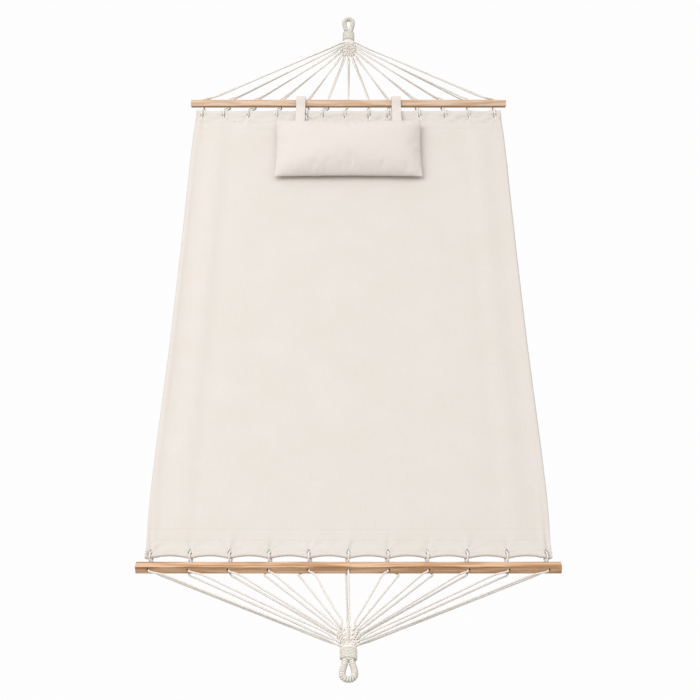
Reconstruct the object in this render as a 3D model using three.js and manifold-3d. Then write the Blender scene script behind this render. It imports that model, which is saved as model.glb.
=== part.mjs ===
// A cloth hammock on two wooden spreader bars, hung by a fan of cords at each end.
// +X runs across the bed, +Y towards the head, +Z up. The origin is where a hook bears inside the head eye.
import * as THREE from "three";
import { mergeVertices } from "three/addons/utils/BufferGeometryUtils.js";
import Module from "manifold-3d";

const wasm = await Module();
wasm.setup();

// Spreader bars, in millimetres and degrees
const BAR_LENGTH = 1300;
const BAR_SIDE = 26;
const BAR_EDGE_WIDTH = 1.5;
const BAR_SPAN = 2086; // from bar axis to bar axis
const HOLE_RADIUS = 5.25;
const HOLE_SIDES = 10;
const HEAD_ROLL = 34; // how far each bar has rolled, with its holes turned up towards its fan
const FOOT_ROLL = 22;
const FAN_RISE = 17;

// Holes, counted from the middle hole outwards. The last one is a margin in from the bar's end.
const HEAD_INNER_PITCH = 89;
const HEAD_INNER_COUNT = 2;
const HEAD_OUTER_COUNT = 4;
const HEAD_END_MARGIN = 46;
const FOOT_COUNT = 5;
const FOOT_END_MARGIN = 40;

// Cords
const CORD_RADIUS = 3;
const CORD_SIDES = 5;
const CLEARANCE = 0.3;
const STRAND_OFFSET = 3.3; // of a cord's two strands, above and below the fan's plane at the weave
const LOOP_SHIFT = 2; // how far the two halves of a loop lie to the left and right of their hole
const LOOP_CLEARANCE = 1; // between a loop and the hem inside it
const HOLE_EXIT_LENGTH = 3; // how far a cord runs straight out of its hole, on the fan's side
const HOLE_ENTRY_LENGTH = 3; // and on the bed's side
const UNDER_BAR_CLEARANCE = 0.9; // between the bar and the strand that passes under it
const UNDER_BAR_LENGTH = 1; // how far that strand runs straight past the bar

// Fan, from the bar's axis outwards
const WEAVE_DISTANCE = 228;
const WEAVE_LENGTH = 70;
const WEAVE_NECK_WIDTH = 48;
const WEAVE_WIDTH = 64;
const WEAVE_BAR_WIDTH = 46;
const WEAVE_SHOULDER_LENGTH = 7; // how far the weave's bar end is crowned
const WEAVE_THICKNESS = 16;
const WEAVE_BEVEL_WIDTH = 2;

// Whipping round the neck of the bundle
const NECK_LENGTH = 48;
const NECK_WIDTH = 40;
const NECK_THICKNESS = 19;
const NECK_SIDES = 20;
const WHIPPING_RADIUS = 2.5;
const WHIPPING_LOOPS = 7;
const WHIPPING_STEPS = 12;
const WHIPPING_SIDES = 4;
const WHIPPING_CLEARANCE = 0.9; // between the neck and the loops round it
const WHIPPING_END_MARGIN = 0.5; // of the neck left bare past the first and last loop
const TUCK_DEPTH = 6;
const TUCK_CLEARANCE = 1.1; // round an end of the whipping that is tucked into the neck
const TUCK_SIDES = 8;

// Eye
const EYE_LENGTH = 75; // from the neck to the outside of the loop's tip
const EYE_LEG_SPACING = 20.4;
const EYE_WIDTH = 55;
const EYE_STRAIGHT_LENGTH = 6; // how far each leg runs straight out of the neck
const EYE_PARTING = 0.6; // how long the legs stay close before they part: 0 at once, 1 late
const EYE_POINTS = 200; // measured along each half of the eye
const EYE_CORE_RADIUS = 4;
const EYE_CORE_STEPS = 44;
const EYE_CORE_SIDES = 6;
const SERVING_LOOPS = 17;
const SERVING_STEPS = 9;
const SERVING_HEIGHT = 5;
const SERVING_WIDTH = 6.2;

// Bed cloth
const CLOTH_MARGIN = 25; // from each end of a bar to the side of the cloth
const CLOTH_THICKNESS = 2;
const HEAD_HEM_DISTANCE = 48; // from a bar's axis to the hem at a cord
const FOOT_HEM_DISTANCE = 30;
const HEM_DEPTH = 110;
const HEM_ROPE_RADIUS = 4;
const HEM_ROPE_SIDES = 8;
const HEM_PLY_GAP = 0.4;
const HEM_TAPER_LENGTH = 24; // behind the hem rope the two plies lie together
const HEAD_SCALLOP_DEPTH = 5;
const FOOT_SCALLOP_DEPTH = 12;
const BED_SAG_DEPTH = 45;
const SIDE_SAG_SHARE = 0.6;
const END_FOLD_DEPTH = 5; // how far the cloth dips between two cords, near the hem
const END_FOLD_FADE = 16; // powers of the way along the bed: how soon the dips fade from the hem
const END_FOLD_FLAT = 40; // and how close to the hem they begin
const SIDE_FOLD_HEIGHT = 3;
const SIDE_FOLD_PITCH = 120;
const SIDE_FOLD_MARGIN = 105; // from the cloth's side to the crest of its fold
const SIDE_FOLD_WIDTH = 205; // and to where the cloth lies flat
const SIDE_FOLD_FADE = 6; // power of the way along the bed at which the side folds fade
const HEM_ROPE_CLEARANCE = 1; // between the hem rope and the cloth folded round it
const SLIT_DISTANCE = 12.5; // behind the hem rope's axis
const SLIT_LENGTH = 17;
const SLIT_WIDTH = 10.2;
const STRAIGHT_COLUMNS = 0.9; // past this share of the half length the cloth's columns run square to the hem
const BED_ROWS = [-0.55, 0, 0.5, 0.75]; // of the way from the middle to the hem rope

// Pillow
const PILLOW_LENGTH = 588;
const PILLOW_DEPTH = 290;
const PILLOW_DISTANCE = 280; // from the head bar's axis
const PILLOW_CROWN_HEIGHT = 58; // above its seam
const PILLOW_BELLY_DEPTH = 44; // below its seam, where nothing flattens it
const PILLOW_SEAM_HEIGHT = 30;
const PILLOW_DRAW_IN_DEPTH = 8;
const PILLOW_SQUARENESS = 4; // power that keeps the crown broad
const PILLOW_FULLNESS = 0.6; // power that rounds the crown down to the seam
const PILLOW_GRID = [14, 8];
const REST_GAP = 1.3; // between the pillow and the bed's curve, over which its flat facets stand a little
const COVER_THICKNESS = 2;
const COVER_EDGE_THICKNESS = 3; // thickness of the sewn edge
const COVER_SEAM_WIDTH = 7; // width of the sewn edge, where the two faces lie together
const COVER_MOUTH_LENGTH = 240; // of the opening for the filling, in the seam at the bar's side
const COVER_MOUTH_HEIGHT = 1.4;
const FILLING_GAP = 1;

// Straps that tie the pillow to the head bar
const STRAP_WIDTH = 38;
const STRAP_THICKNESS = 2;
const STRAP_GAP = 0.5; // between a strap and the cord beside it
const STRAP_LOOP_RADIUS = 27;
const STRAP_LOOP_FORWARD = 7; // of the loop's centre from the bar's axis
const STRAP_LOOP_DROP = 4.3;
const STRAP_PINCH_RADIUS = 45; // from the loop's centre to where the two plies meet
const STRAP_PINCH_ANGLE = 162; // degrees
const STRAP_ARC_STEPS = 16;

// Where the foot fan turns about its bar, the ties stop at this radius and the fan's cords start just past it
const TURN_RADIUS = 26;
const TURN_SIDES = 48;

const radians = THREE.MathUtils.degToRad;
const v = (x, y, z) => new THREE.Vector3(x, y, z);
const halfBar = BAR_SIDE / 2;

const material = (color, roughness) => new THREE.MeshStandardMaterial({ color, roughness, metalness: 0 });
const wood = () => material("#cfa57c", 0.55);
const rope = () => material("#e6ded2", 0.9);
const canvas = () => material("#eee7e0", 0.92);
const wadding = () => material("#f6f4f0", 1);

// A closed skin over rings of points. Each ring turns anticlockwise as seen from the last ring.
function skin(rings, cap = fanCap) {
  const count = rings[0].length;
  const faces = [];
  for (let i = 0; i + 1 < rings.length; i++) {
    for (let j = 0; j < count; j++) {
      const a = i * count + j;
      const b = i * count + ((j + 1) % count);
      faces.push(a, b, a + count, b, b + count, a + count);
    }
  }
  const last = (rings.length - 1) * count;
  for (const [p, q, r] of cap(count)) faces.push(p, r, q, last + p, last + q, last + r);
  return indexed(rings.flat(), faces);
}

function indexed(points, faces) {
  const geometry = new THREE.BufferGeometry();
  const numbers = points.flatMap((p) => p.toArray());
  geometry.setAttribute("position", new THREE.Float32BufferAttribute(numbers, 3));
  geometry.setIndex(faces);
  return geometry;
}

// End caps: a fan for a convex ring, a strip for a ribbon whose two long sides are the ring's two halves
const fanCap = (count) => Array.from({ length: count - 2 }, (_, j) => [0, j + 1, j + 2]);

function stripCap(count) {
  const faces = [];
  for (let j = 0; j < count / 2 - 1; j++) {
    const across = count - 1 - j;
    faces.push([j, j + 1, across], [j + 1, across - 1, across]);
  }
  return faces;
}

// A tube through stations, mitred at each one
function tube(stations, radius, sides) {
  const towards = (from, to) => to.clone().sub(from).normalize();
  let direction = towards(stations[0], stations[1]);
  const lean = Math.abs(direction.z) < Math.SQRT1_2 ? v(0, 0, 1) : v(0, 1, 0);
  let side = lean.cross(direction).normalize();
  const rings = stations.map((station, i) => {
    const ahead = i + 1 < stations.length ? towards(station, stations[i + 1]) : direction.clone();
    const mitre = direction.clone().add(ahead).normalize();
    const up = direction.clone().cross(side);
    const ring = Array.from({ length: sides }, (_, j) => {
      const turn = (2 * Math.PI * j) / sides;
      const arm = side.clone().multiplyScalar(radius * Math.cos(turn));
      arm.addScaledVector(up, radius * Math.sin(turn));
      arm.addScaledVector(direction, -arm.dot(mitre) / direction.dot(mitre));
      return arm.add(station);
    });
    side.applyQuaternion(new THREE.Quaternion().setFromUnitVectors(direction, ahead));
    direction = ahead;
    return ring;
  });
  return skin(rings);
}

// Solids that are joined or cut
function solid(geometry) {
  const bare = geometry.clone();
  for (const name of ["normal", "uv"]) bare.deleteAttribute(name);
  const merged = mergeVertices(bare, 1e-4);
  const mesh = new wasm.Mesh({
    numProp: 3,
    vertProperties: merged.attributes.position.array,
    triVerts: new Uint32Array(merged.index.array),
  });
  return new wasm.Manifold(mesh);
}

function shapeOf(cut) {
  const mesh = cut.getMesh();
  const geometry = new THREE.BufferGeometry();
  geometry.setAttribute("position", new THREE.BufferAttribute(mesh.vertProperties, 3));
  geometry.setIndex(new THREE.BufferAttribute(mesh.triVerts, 1));
  return geometry;
}

const box = (lo, hi) =>
  new THREE.BoxGeometry(hi.x - lo.x, hi.y - lo.y, hi.z - lo.z).translate(
    (lo.x + hi.x) / 2,
    (lo.y + hi.y) / 2,
    (lo.z + hi.z) / 2,
  );

function mesh(name, geometry, finish) {
  const part = new THREE.Mesh(geometry, finish);
  part.name = name;
  return part;
}

// The least distance between two stretches of a winding that lie half a loop or more apart
function leastGap(rings, stepsPerLoop) {
  let least = Infinity;
  for (let i = 0; i < rings.length; i++) {
    for (let k = i + Math.ceil(stepsPerLoop / 2); k < Math.min(rings.length, i + 2 * stepsPerLoop); k++) {
      for (const p of rings[i]) for (const q of rings[k]) least = Math.min(least, p.distanceTo(q));
    }
  }
  return least;
}

// Places of the holes along each bar, left to right
function mirrored(outwards) {
  return [...outwards.map((x) => -x).reverse(), 0, ...outwards];
}

const steps = (count, pitch, start = 0) => Array.from({ length: count }, (_, i) => start + (i + 1) * pitch);
const headInner = steps(HEAD_INNER_COUNT, HEAD_INNER_PITCH);
const headOuterPitch = (BAR_LENGTH / 2 - HEAD_END_MARGIN - headInner.at(-1)) / HEAD_OUTER_COUNT;
const headHoles = mirrored([...headInner, ...steps(HEAD_OUTER_COUNT, headOuterPitch, headInner.at(-1))]);
const footHoles = mirrored(steps(FOOT_COUNT, (BAR_LENGTH / 2 - FOOT_END_MARGIN) / FOOT_COUNT));

// Frames of one end of the hammock: y is measured outwards from the bar's axis, z upwards
const tilted = (x, along, up, degrees) => v(x, along, up).applyAxisAngle(v(1, 0, 0), radians(degrees));
const hemTurn = HEM_ROPE_RADIUS + CLEARANCE + HEM_ROPE_CLEARANCE + CLOTH_THICKNESS / 2; // its middle's radius
const hemReach = hemTurn + CLOTH_THICKNESS / 2;
const headEnd = {
  facing: 1,
  holes: headHoles,
  roll: HEAD_ROLL,
  ropeAxis: HEAD_HEM_DISTANCE + hemReach,
  scallop: HEAD_SCALLOP_DEPTH,
};
const footEnd = {
  facing: -1,
  holes: footHoles,
  roll: FOOT_ROLL,
  ropeAxis: FOOT_HEM_DISTANCE + hemReach,
  scallop: FOOT_SCALLOP_DEPTH,
};

// The cloth's edge lies back between the cords, in an arch from one cord to the next
function archAt(x, holes) {
  const i = holes.findIndex((hole, k) => k + 1 < holes.length && x >= hole && x <= holes[k + 1]);
  if (i < 0) return 0;
  const share = (x - holes[i]) / (holes[i + 1] - holes[i]);
  return 4 * share * (1 - share);
}

// Spreader bar: a square batten with eased edges and a row of holes, rolled about its own axis
function bar(name, { holes, roll }) {
  const outline = new THREE.Shape();
  const inside = halfBar - BAR_EDGE_WIDTH;
  outline.moveTo(-halfBar, -inside);
  outline.lineTo(-inside, -halfBar);
  outline.lineTo(inside, -halfBar);
  outline.lineTo(halfBar, -inside);
  outline.lineTo(halfBar, inside);
  outline.lineTo(inside, halfBar);
  outline.lineTo(-inside, halfBar);
  outline.lineTo(-halfBar, inside);
  outline.closePath();
  const batten = new THREE.ExtrudeGeometry(outline, { depth: BAR_LENGTH, bevelEnabled: false });
  batten.rotateY(Math.PI / 2).translate(-BAR_LENGTH / 2, 0, 0);
  let cut = solid(batten);
  for (const x of holes) {
    const drill = new THREE.CylinderGeometry(HOLE_RADIUS, HOLE_RADIUS, 2 * BAR_SIDE, HOLE_SIDES);
    cut = cut.subtract(solid(drill.translate(x, 0, 0)));
  }
  const part = mesh(name, shapeOf(cut), wood());
  part.rotation.x = radians(roll);
  return part;
}

// The weave's outline in the fan's plane, from the neck down its right side to the middle of its bar end
const weaveEnd = WEAVE_DISTANCE + WEAVE_LENGTH;
const weaveRight = [
  new THREE.Vector2(WEAVE_NECK_WIDTH / 2, weaveEnd),
  new THREE.Vector2(WEAVE_WIDTH / 2, weaveEnd - WEAVE_LENGTH / 2),
  new THREE.Vector2(WEAVE_BAR_WIDTH / 2, WEAVE_DISTANCE + WEAVE_SHOULDER_LENGTH),
  new THREE.Vector2(0, WEAVE_DISTANCE),
];

// A point on the weave's rim and the way out of it: share 0 is the middle of the bar end, 1 is near the neck
function weaveRim(share) {
  const route = new THREE.CurvePath();
  const margin = 2 * CORD_RADIUS;
  const corners = [...weaveRight].reverse();
  corners.slice(1).forEach((corner, i) => route.add(new THREE.LineCurve(corners[i], corner)));
  const reach = Math.abs(share) * (1 - margin / route.getLength());
  const point = route.getPointAt(reach);
  const along = route.getTangentAt(reach);
  const mirror = share < 0 ? -1 : 1;
  const out = share === 0 ? v(0, -1, 0) : v(mirror * along.y, -along.x, 0);
  return { point: v(mirror * point.x, point.y, 0), out };
}

function weave(name) {
  const left = weaveRight.slice(0, -1).map((p) => new THREE.Vector2(-p.x, p.y));
  const outline = new THREE.Shape([...left, ...[...weaveRight].reverse()]);
  const depth = WEAVE_THICKNESS - 2 * WEAVE_BEVEL_WIDTH;
  const block = new THREE.ExtrudeGeometry(outline, {
    depth,
    bevelThickness: WEAVE_BEVEL_WIDTH,
    bevelSize: WEAVE_BEVEL_WIDTH,
    bevelOffset: -WEAVE_BEVEL_WIDTH,
    bevelSegments: 1,
  });
  return mesh(name, block.translate(0, 0, -depth / 2), rope());
}

// The bundle's neck, an oval block with a hole in its underside for each tucked end of the whipping
const neckStart = weaveEnd + CLEARANCE;
const neckEnd = neckStart + NECK_LENGTH;
const whippingPitch = (NECK_LENGTH - 2 * (WHIPPING_RADIUS + WHIPPING_END_MARGIN)) / WHIPPING_LOOPS;
const whippingStart = neckStart + WHIPPING_RADIUS + WHIPPING_END_MARGIN;
const whippingLift = WHIPPING_CLEARANCE + WHIPPING_RADIUS; // of the cord's middle over the neck
const tuckRadius = WHIPPING_RADIUS + TUCK_CLEARANCE;

function neck(name) {
  const oval = new THREE.Shape();
  oval.absellipse(0, 0, NECK_WIDTH / 2, NECK_THICKNESS / 2, 0, 2 * Math.PI);
  const block = new THREE.ExtrudeGeometry(oval, {
    depth: NECK_LENGTH,
    bevelEnabled: false,
    curveSegments: NECK_SIDES / 2,
  });
  block.rotateX(Math.PI / 2).translate(0, neckEnd, 0);
  let cut = solid(block);
  const floor = NECK_THICKNESS / 2 - TUCK_DEPTH;
  for (const along of [whippingStart, whippingStart + WHIPPING_LOOPS * whippingPitch]) {
    const drill = new THREE.CylinderGeometry(tuckRadius, tuckRadius, NECK_THICKNESS, TUCK_SIDES);
    drill.rotateX(Math.PI / 2).translate(0, along, -floor - NECK_THICKNESS / 2);
    cut = cut.subtract(solid(drill));
  }
  return mesh(name, shapeOf(cut), rope());
}

function whipping(name) {
  const total = WHIPPING_LOOPS * WHIPPING_STEPS;
  const width = NECK_WIDTH / 2 + whippingLift;
  const height = NECK_THICKNESS / 2 + whippingLift;
  const turns = Array.from({ length: total + 1 }, (_, i) => {
    const turn = (2 * Math.PI * i) / WHIPPING_STEPS - Math.PI / 2;
    const along = whippingStart + (whippingPitch * i) / WHIPPING_STEPS;
    return v(width * Math.cos(turn), along, height * Math.sin(turn));
  });
  const floor = TUCK_DEPTH - NECK_THICKNESS / 2 - CLEARANCE;
  const ends = [turns[0], turns.at(-1)].map((p) => v(p.x, p.y, floor));
  const geometry = tube([ends[0], ...turns, ends[1]], WHIPPING_RADIUS, WHIPPING_SIDES);
  const corner = (ring, j) =>
    v(0, 0, 0).fromBufferAttribute(geometry.attributes.position, WHIPPING_SIDES * (ring + 1) + j);
  const rings = turns.map((_, ring) => Array.from({ length: WHIPPING_SIDES }, (_, j) => corner(ring, j)));
  console.log(name, "least gap to itself", leastGap(rings, WHIPPING_STEPS).toFixed(2), "mm");
  return mesh(name, geometry, rope());
}

// The eye's middle line: two legs that leave the neck square, part, and meet in a half circle
const eyeStart = neckEnd + CLEARANCE;
const servingInside = EYE_CORE_RADIUS + 3 * CLEARANCE;
const servingOutside = servingInside + SERVING_HEIGHT;
const eyeArc = EYE_WIDTH / 2 - servingOutside;
const eyeTip = neckEnd + EYE_LENGTH - servingOutside;
const eyeArcStart = eyeTip - eyeArc;

function eyeLine() {
  const leg = EYE_LEG_SPACING / 2;
  const quarter = (eyeArc * 4 * (Math.SQRT2 - 1)) / 3; // reach of a quarter circle's control points
  const first = eyeStart + EYE_STRAIGHT_LENGTH;
  const rise = (eyeArcStart - first) / 2;
  const route = new THREE.CurvePath();
  route.add(new THREE.LineCurve3(v(leg, eyeStart, 0), v(leg, first, 0)));
  route.add(
    new THREE.CubicBezierCurve3(
      v(leg, first, 0),
      v(leg, first + rise * EYE_PARTING, 0),
      v(eyeArc, eyeArcStart - rise, 0),
      v(eyeArc, eyeArcStart, 0),
    ),
  );
  route.add(
    new THREE.CubicBezierCurve3(
      v(eyeArc, eyeArcStart, 0),
      v(eyeArc, eyeArcStart + quarter, 0),
      v(quarter, eyeTip, 0),
      v(0, eyeTip, 0),
    ),
  );
  const half = Array.from({ length: EYE_POINTS + 1 }, (_, i) => route.getPointAt(i / EYE_POINTS));
  const back = half.slice(0, -1).reverse();
  const points = [...half, ...back.map((p) => v(-p.x, p.y, 0))];
  const whole = new THREE.CatmullRomCurve3(points, false, "catmullrom");
  whole.arcLengthDivisions = 8 * EYE_POINTS;
  return whole;
}

const eyeMiddle = eyeLine();
const eyeRun = eyeMiddle.getLength();

function eye(name) {
  const stations = eyeMiddle.getSpacedPoints(EYE_CORE_STEPS);
  return mesh(name, tube(stations, EYE_CORE_RADIUS, EYE_CORE_SIDES), rope());
}

// A point beside the eye's middle line: distance along it, distance out from it, and the angle round it
function besideEye(along, out, turn) {
  const share = THREE.MathUtils.clamp(along / eyeRun, 0, 1);
  const direction = eyeMiddle.getTangentAt(share);
  const outwards = direction.clone().cross(v(0, 0, 1));
  return eyeMiddle
    .getPointAt(share)
    .addScaledVector(outwards, out * Math.cos(turn))
    .addScaledVector(v(0, 0, 1), out * Math.sin(turn));
}

// Cord wound close round the eye. Its section is drawn along the eye, so it narrows inside the bend, as real
// turns do. Each ring's corners lie lengthwise along the eye and crosswise round it.
function serving(name) {
  const half = SERVING_WIDTH / 2;
  const halfTurn = half / ((servingInside + servingOutside) / 2);
  const ring = (along, turn, lengthwise, crosswise) => [
    besideEye(along - lengthwise, servingInside, turn + crosswise),
    besideEye(along - lengthwise, servingOutside, turn + crosswise),
    besideEye(along + lengthwise, servingOutside, turn - crosswise),
    besideEye(along + lengthwise, servingInside, turn - crosswise),
  ];
  const first = SERVING_WIDTH + half; // each end runs straight to the neck for one width of the cord
  const last = eyeRun - first;
  const total = SERVING_LOOPS * SERVING_STEPS;
  const turns = Array.from({ length: total - 1 }, (_, i) => {
    const share = (i + 1) / total;
    return ring(first + (last - first) * share, 2 * Math.PI * SERVING_LOOPS * share, half, 0);
  });
  const rings = [
    ring(0, 0, 0, halfTurn),
    ring(first, 0, half, halfTurn),
    ...turns,
    ring(last, 0, half, halfTurn),
    ring(eyeRun, 0, 0, halfTurn),
  ];
  console.log(name, "least gap to itself", leastGap(turns, SERVING_STEPS).toFixed(2), "mm");
  return mesh(name, skin(rings), rope());
}

// One loop of cord: out of the bar's hole, over the hem, down its slit, back under the hem and under the bar
const loopRadius = hemReach + LOOP_CLEARANCE + CORD_RADIUS;
const underBar = halfBar + UNDER_BAR_CLEARANCE + CORD_RADIUS;

function loopStations(x, { roll, ropeAxis }) {
  const round = (degrees, shift) => {
    const around = new THREE.Vector2(loopRadius, 0).rotateAround(new THREE.Vector2(), radians(degrees));
    return v(x + shift, around.x - ropeAxis, around.y);
  };
  const slit = -ropeAxis - SLIT_DISTANCE;
  const left = -LOOP_SHIFT;
  return [
    tilted(x, halfBar + HOLE_EXIT_LENGTH, 0, roll),
    tilted(x, -halfBar - HOLE_ENTRY_LENGTH, 0, roll),
    round(50, LOOP_SHIFT),
    round(90, LOOP_SHIFT),
    v(x + LOOP_SHIFT / 2, slit + CORD_RADIUS, loopRadius - CLOTH_THICKNESS),
    v(x, slit, hemTurn - CLOTH_THICKNESS / 2),
    v(x, slit, -hemTurn - CLOTH_THICKNESS / 2),
    v(x + left / 2, slit + CORD_RADIUS, -loopRadius),
    round(-90, left),
    round(-50, left),
    tilted(x + left / 2, -halfBar - UNDER_BAR_LENGTH, -underBar, roll),
    tilted(x, halfBar + UNDER_BAR_LENGTH, -underBar, roll),
  ];
}

// The two ends of a cord at the weave, each as far off the rim as its slant needs
function tips(share, from, lift) {
  const { point, out } = weaveRim(share);
  const slant = (target) => {
    const direction = target.clone().applyAxisAngle(v(1, 0, 0), -radians(FAN_RISE)).sub(point).normalize();
    return Math.sqrt(Math.max(0, 1 - direction.dot(out) ** 2));
  };
  return from.map((target, i) => {
    const off = CLEARANCE + lift(slant(target));
    const place = point.clone().addScaledVector(out, off);
    return tilted(place.x, place.y, i ? -STRAND_OFFSET : STRAND_OFFSET, FAN_RISE);
  });
}

// A head cord is one piece: from the weave through the bar, round the hem and back under the bar to the weave
function headCord(name, x, share) {
  const loop = loopStations(x, headEnd);
  const [upper, lower] = tips(share, [loop[0], loop.at(-1)], (slant) => CORD_RADIUS * slant);
  return mesh(name, tube([upper, ...loop, lower], CORD_RADIUS, CORD_SIDES), rope());
}

// A foot cord is drawn as its loop round the bar and hem, and its two strands, which turn with the fan
const turnCylinder = (radius) =>
  new THREE.CylinderGeometry(radius, radius, BAR_LENGTH, TURN_SIDES).rotateZ(Math.PI / 2);
const tieReach = footEnd.ropeAxis + SLIT_DISTANCE + 2 * loopRadius + underBar;
const bedSide = box(v(-BAR_LENGTH / 2, -tieReach, -tieReach), v(BAR_LENGTH / 2, 0, tieReach));

function footTie(name, x, share) {
  const loop = loopStations(x, footEnd);
  const [upper, lower] = tips(share, [loop[0], loop.at(-1)], () => CORD_RADIUS);
  const whole = solid(tube([upper, ...loop, lower], CORD_RADIUS, CORD_SIDES));
  const kept = solid(turnCylinder(TURN_RADIUS)).add(solid(bedSide));
  return mesh(name, shapeOf(whole.intersect(kept)), rope());
}

function footCord(name, x, share) {
  const loop = loopStations(x, footEnd);
  const [upper, lower] = tips(share, [loop[0], loop.at(-1)], () => CORD_RADIUS);
  const whole = solid(tube([loop[0], upper, lower, loop.at(-1)], CORD_RADIUS, CORD_SIDES));
  const gone = solid(turnCylinder(TURN_RADIUS + CLEARANCE));
  return mesh(name, shapeOf(whole.subtract(gone)), rope());
}

// Bed cloth
const halfCloth = BAR_LENGTH / 2 - CLOTH_MARGIN;
const nearEnd = (y) => (y > 0 ? headEnd : footEnd);
const clothEnd = ({ ropeAxis }) => BAR_SPAN / 2 - ropeAxis; // from the bed's middle to the hem rope
const plyShift = (CLOTH_THICKNESS + HEM_PLY_GAP) / 2;

function bedHeight(x, y) {
  const across = Math.min(1, Math.abs(x) / halfCloth);
  const along = Math.min(1, Math.abs(y) / clothEnd(nearEnd(y)));
  const sag = BED_SAG_DEPTH * (SIDE_SAG_SHARE + (1 - SIDE_SAG_SHARE) * (1 - across ** 2)) * (1 - along ** 2);
  const arch = archAt(x, nearEnd(y).holes);
  const endFold = END_FOLD_DEPTH * arch * along ** END_FOLD_FADE * (1 - along ** END_FOLD_FLAT);
  const inwards = halfCloth - Math.abs(x);
  const side = THREE.MathUtils.smoothstep(-inwards, -SIDE_FOLD_WIDTH, -SIDE_FOLD_MARGIN);
  const wave = Math.cos((2 * Math.PI * (inwards - SIDE_FOLD_MARGIN)) / SIDE_FOLD_PITCH);
  const sideFold = SIDE_FOLD_HEIGHT * side * wave * (1 - along ** SIDE_FOLD_FADE);
  return plyShift - sag - endFold + sideFold;
}

// Columns of the cloth pass through every hole, and through some mid-spans so that both ends have as many
function columns(holes, splits) {
  const places = [];
  for (let i = 0; i + 1 < holes.length; i++) {
    const count = splits(i);
    for (let k = 0; k < count; k++) places.push(holes[i] + ((holes[i + 1] - holes[i]) * k) / count);
  }
  return [-halfCloth, ...places, holes.at(-1), halfCloth];
}

const fromSide = (i, holes) => Math.min(i, holes.length - 2 - i);
const footColumns = columns(footHoles, (i) => (fromSide(i, footHoles) ? 2 : 1));
const footSpans = 2 * (footHoles.length - 1) - 2; // once all but the outermost two are split
const headSplit = (footSpans - (headHoles.length - 1)) / 2; // spans split at each side of the head
const headColumns = columns(headHoles, (i) => (fromSide(i, headHoles) < headSplit ? 2 : 1));

// The hem's middle line, as distance behind the rope's axis and height. It runs from the free edge of the
// fold, round the rope, to the bed.
function hemLine(x, end) {
  const back = end.scallop * archAt(x, end.holes);
  const height = (behind) => bedHeight(x, end.facing * (clothEnd(end) - behind)) - plyShift;
  const round = (degrees) => {
    const around = new THREE.Vector2(hemTurn, 0).rotateAround(new THREE.Vector2(), radians(degrees));
    return [back - around.x, around.y];
  };
  const edge = HEM_DEPTH - hemReach;
  return [
    [edge, height(edge) - plyShift],
    round(-90),
    round(-30),
    round(30),
    round(90),
    [HEM_TAPER_LENGTH + back, height(HEM_TAPER_LENGTH + back) + plyShift],
  ];
}

function bedCloth(name) {
  const headY = clothEnd(headEnd);
  const footY = -clothEnd(footEnd);
  const shareAt = (y) => THREE.MathUtils.clamp((y / (STRAIGHT_COLUMNS * (y > 0 ? headY : -footY)) + 1) / 2, 0, 1);
  const rings = headColumns.map((headX, i) => {
    const footX = footColumns[i];
    const acrossAt = (y) => THREE.MathUtils.lerp(footX, headX, shareAt(y));
    const foot = hemLine(footX, footEnd);
    const head = hemLine(headX, headEnd).reverse();
    const rows = BED_ROWS.map((row) => (row > 0 ? row * headY : -row * footY));
    const line = [
      ...foot.map(([behind, z]) => [footY + behind, z]),
      ...rows.map((y) => [y, bedHeight(acrossAt(y), y)]),
      ...head.map(([behind, z]) => [headY - behind, z]),
    ];
    const points = line.map(([y, z]) => v(acrossAt(y), y, z));
    const sides = [1, -1].map((side) => offset(points, (side * CLOTH_THICKNESS) / 2));
    return [...sides[0], ...sides[1].reverse()].reverse();
  });
  let cut = solid(skin(rings, stripCap));
  const places = [headEnd, footEnd].flatMap((end) => end.holes.map((x) => [x, end]));
  for (const [x, end] of places) {
    const punch = new THREE.CylinderGeometry(1, 1, 2 * BAR_SIDE, 4).rotateX(Math.PI / 2);
    punch.scale(SLIT_WIDTH / 2, SLIT_LENGTH / 2, 1).translate(x, end.facing * (clothEnd(end) - SLIT_DISTANCE), 0);
    cut = cut.subtract(solid(punch));
  }
  return mesh(name, shapeOf(cut), canvas());
}

// A line moved sideways in its own upright plane, mitred at each point
function offset(points, distance) {
  return points.map((p, i) => {
    const before = points[Math.max(0, i - 1)];
    const after = points[Math.min(points.length - 1, i + 1)];
    const flat = (a, b) => new THREE.Vector2(b.y - a.y, b.z - a.z).normalize();
    const arriving = i ? flat(before, p) : flat(p, after);
    const leaving = i + 1 < points.length ? flat(p, after) : flat(before, p);
    const mitre = arriving.clone().add(leaving).normalize();
    const scale = distance / mitre.dot(arriving);
    return v(p.x, p.y - mitre.y * scale, p.z + mitre.x * scale);
  });
}

function hemRope(name, places, end) {
  const stations = places.map((x, i) => {
    const inset = (i === 0 ? 1 : i === places.length - 1 ? -1 : 0) * CLOTH_THICKNESS;
    return v(x + inset, end.facing * (clothEnd(end) - end.scallop * archAt(x, end.holes)), 0);
  });
  return mesh(name, tube(stations, HEM_ROPE_RADIUS, HEM_ROPE_SIDES), rope());
}

// Pillow, drawn flat about its own middle; its group leans it on the bed
const pillowY = BAR_SPAN / 2 - PILLOW_DISTANCE;
const bedSlope = (bedHeight(0, pillowY + 1) - bedHeight(0, pillowY - 1)) / 2;
const pillowLean = Math.atan(bedSlope);
const pillowBase = bedHeight(0, pillowY) + CLOTH_THICKNESS / 2;

// The bed's height under a point of the pillow, in the pillow's own frame
function bedUnder(x, y) {
  const worldY = pillowY + y * Math.cos(pillowLean);
  const height = bedHeight(x, worldY) + CLOTH_THICKNESS / 2 + REST_GAP;
  return (height - pillowBase - y * Math.sin(pillowLean)) / Math.cos(pillowLean);
}

// Half sizes of the pillow where its sides pull in between the corners
const drawnIn = (half, share) => half - PILLOW_DRAW_IN_DEPTH * (1 - share ** 2);

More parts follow.
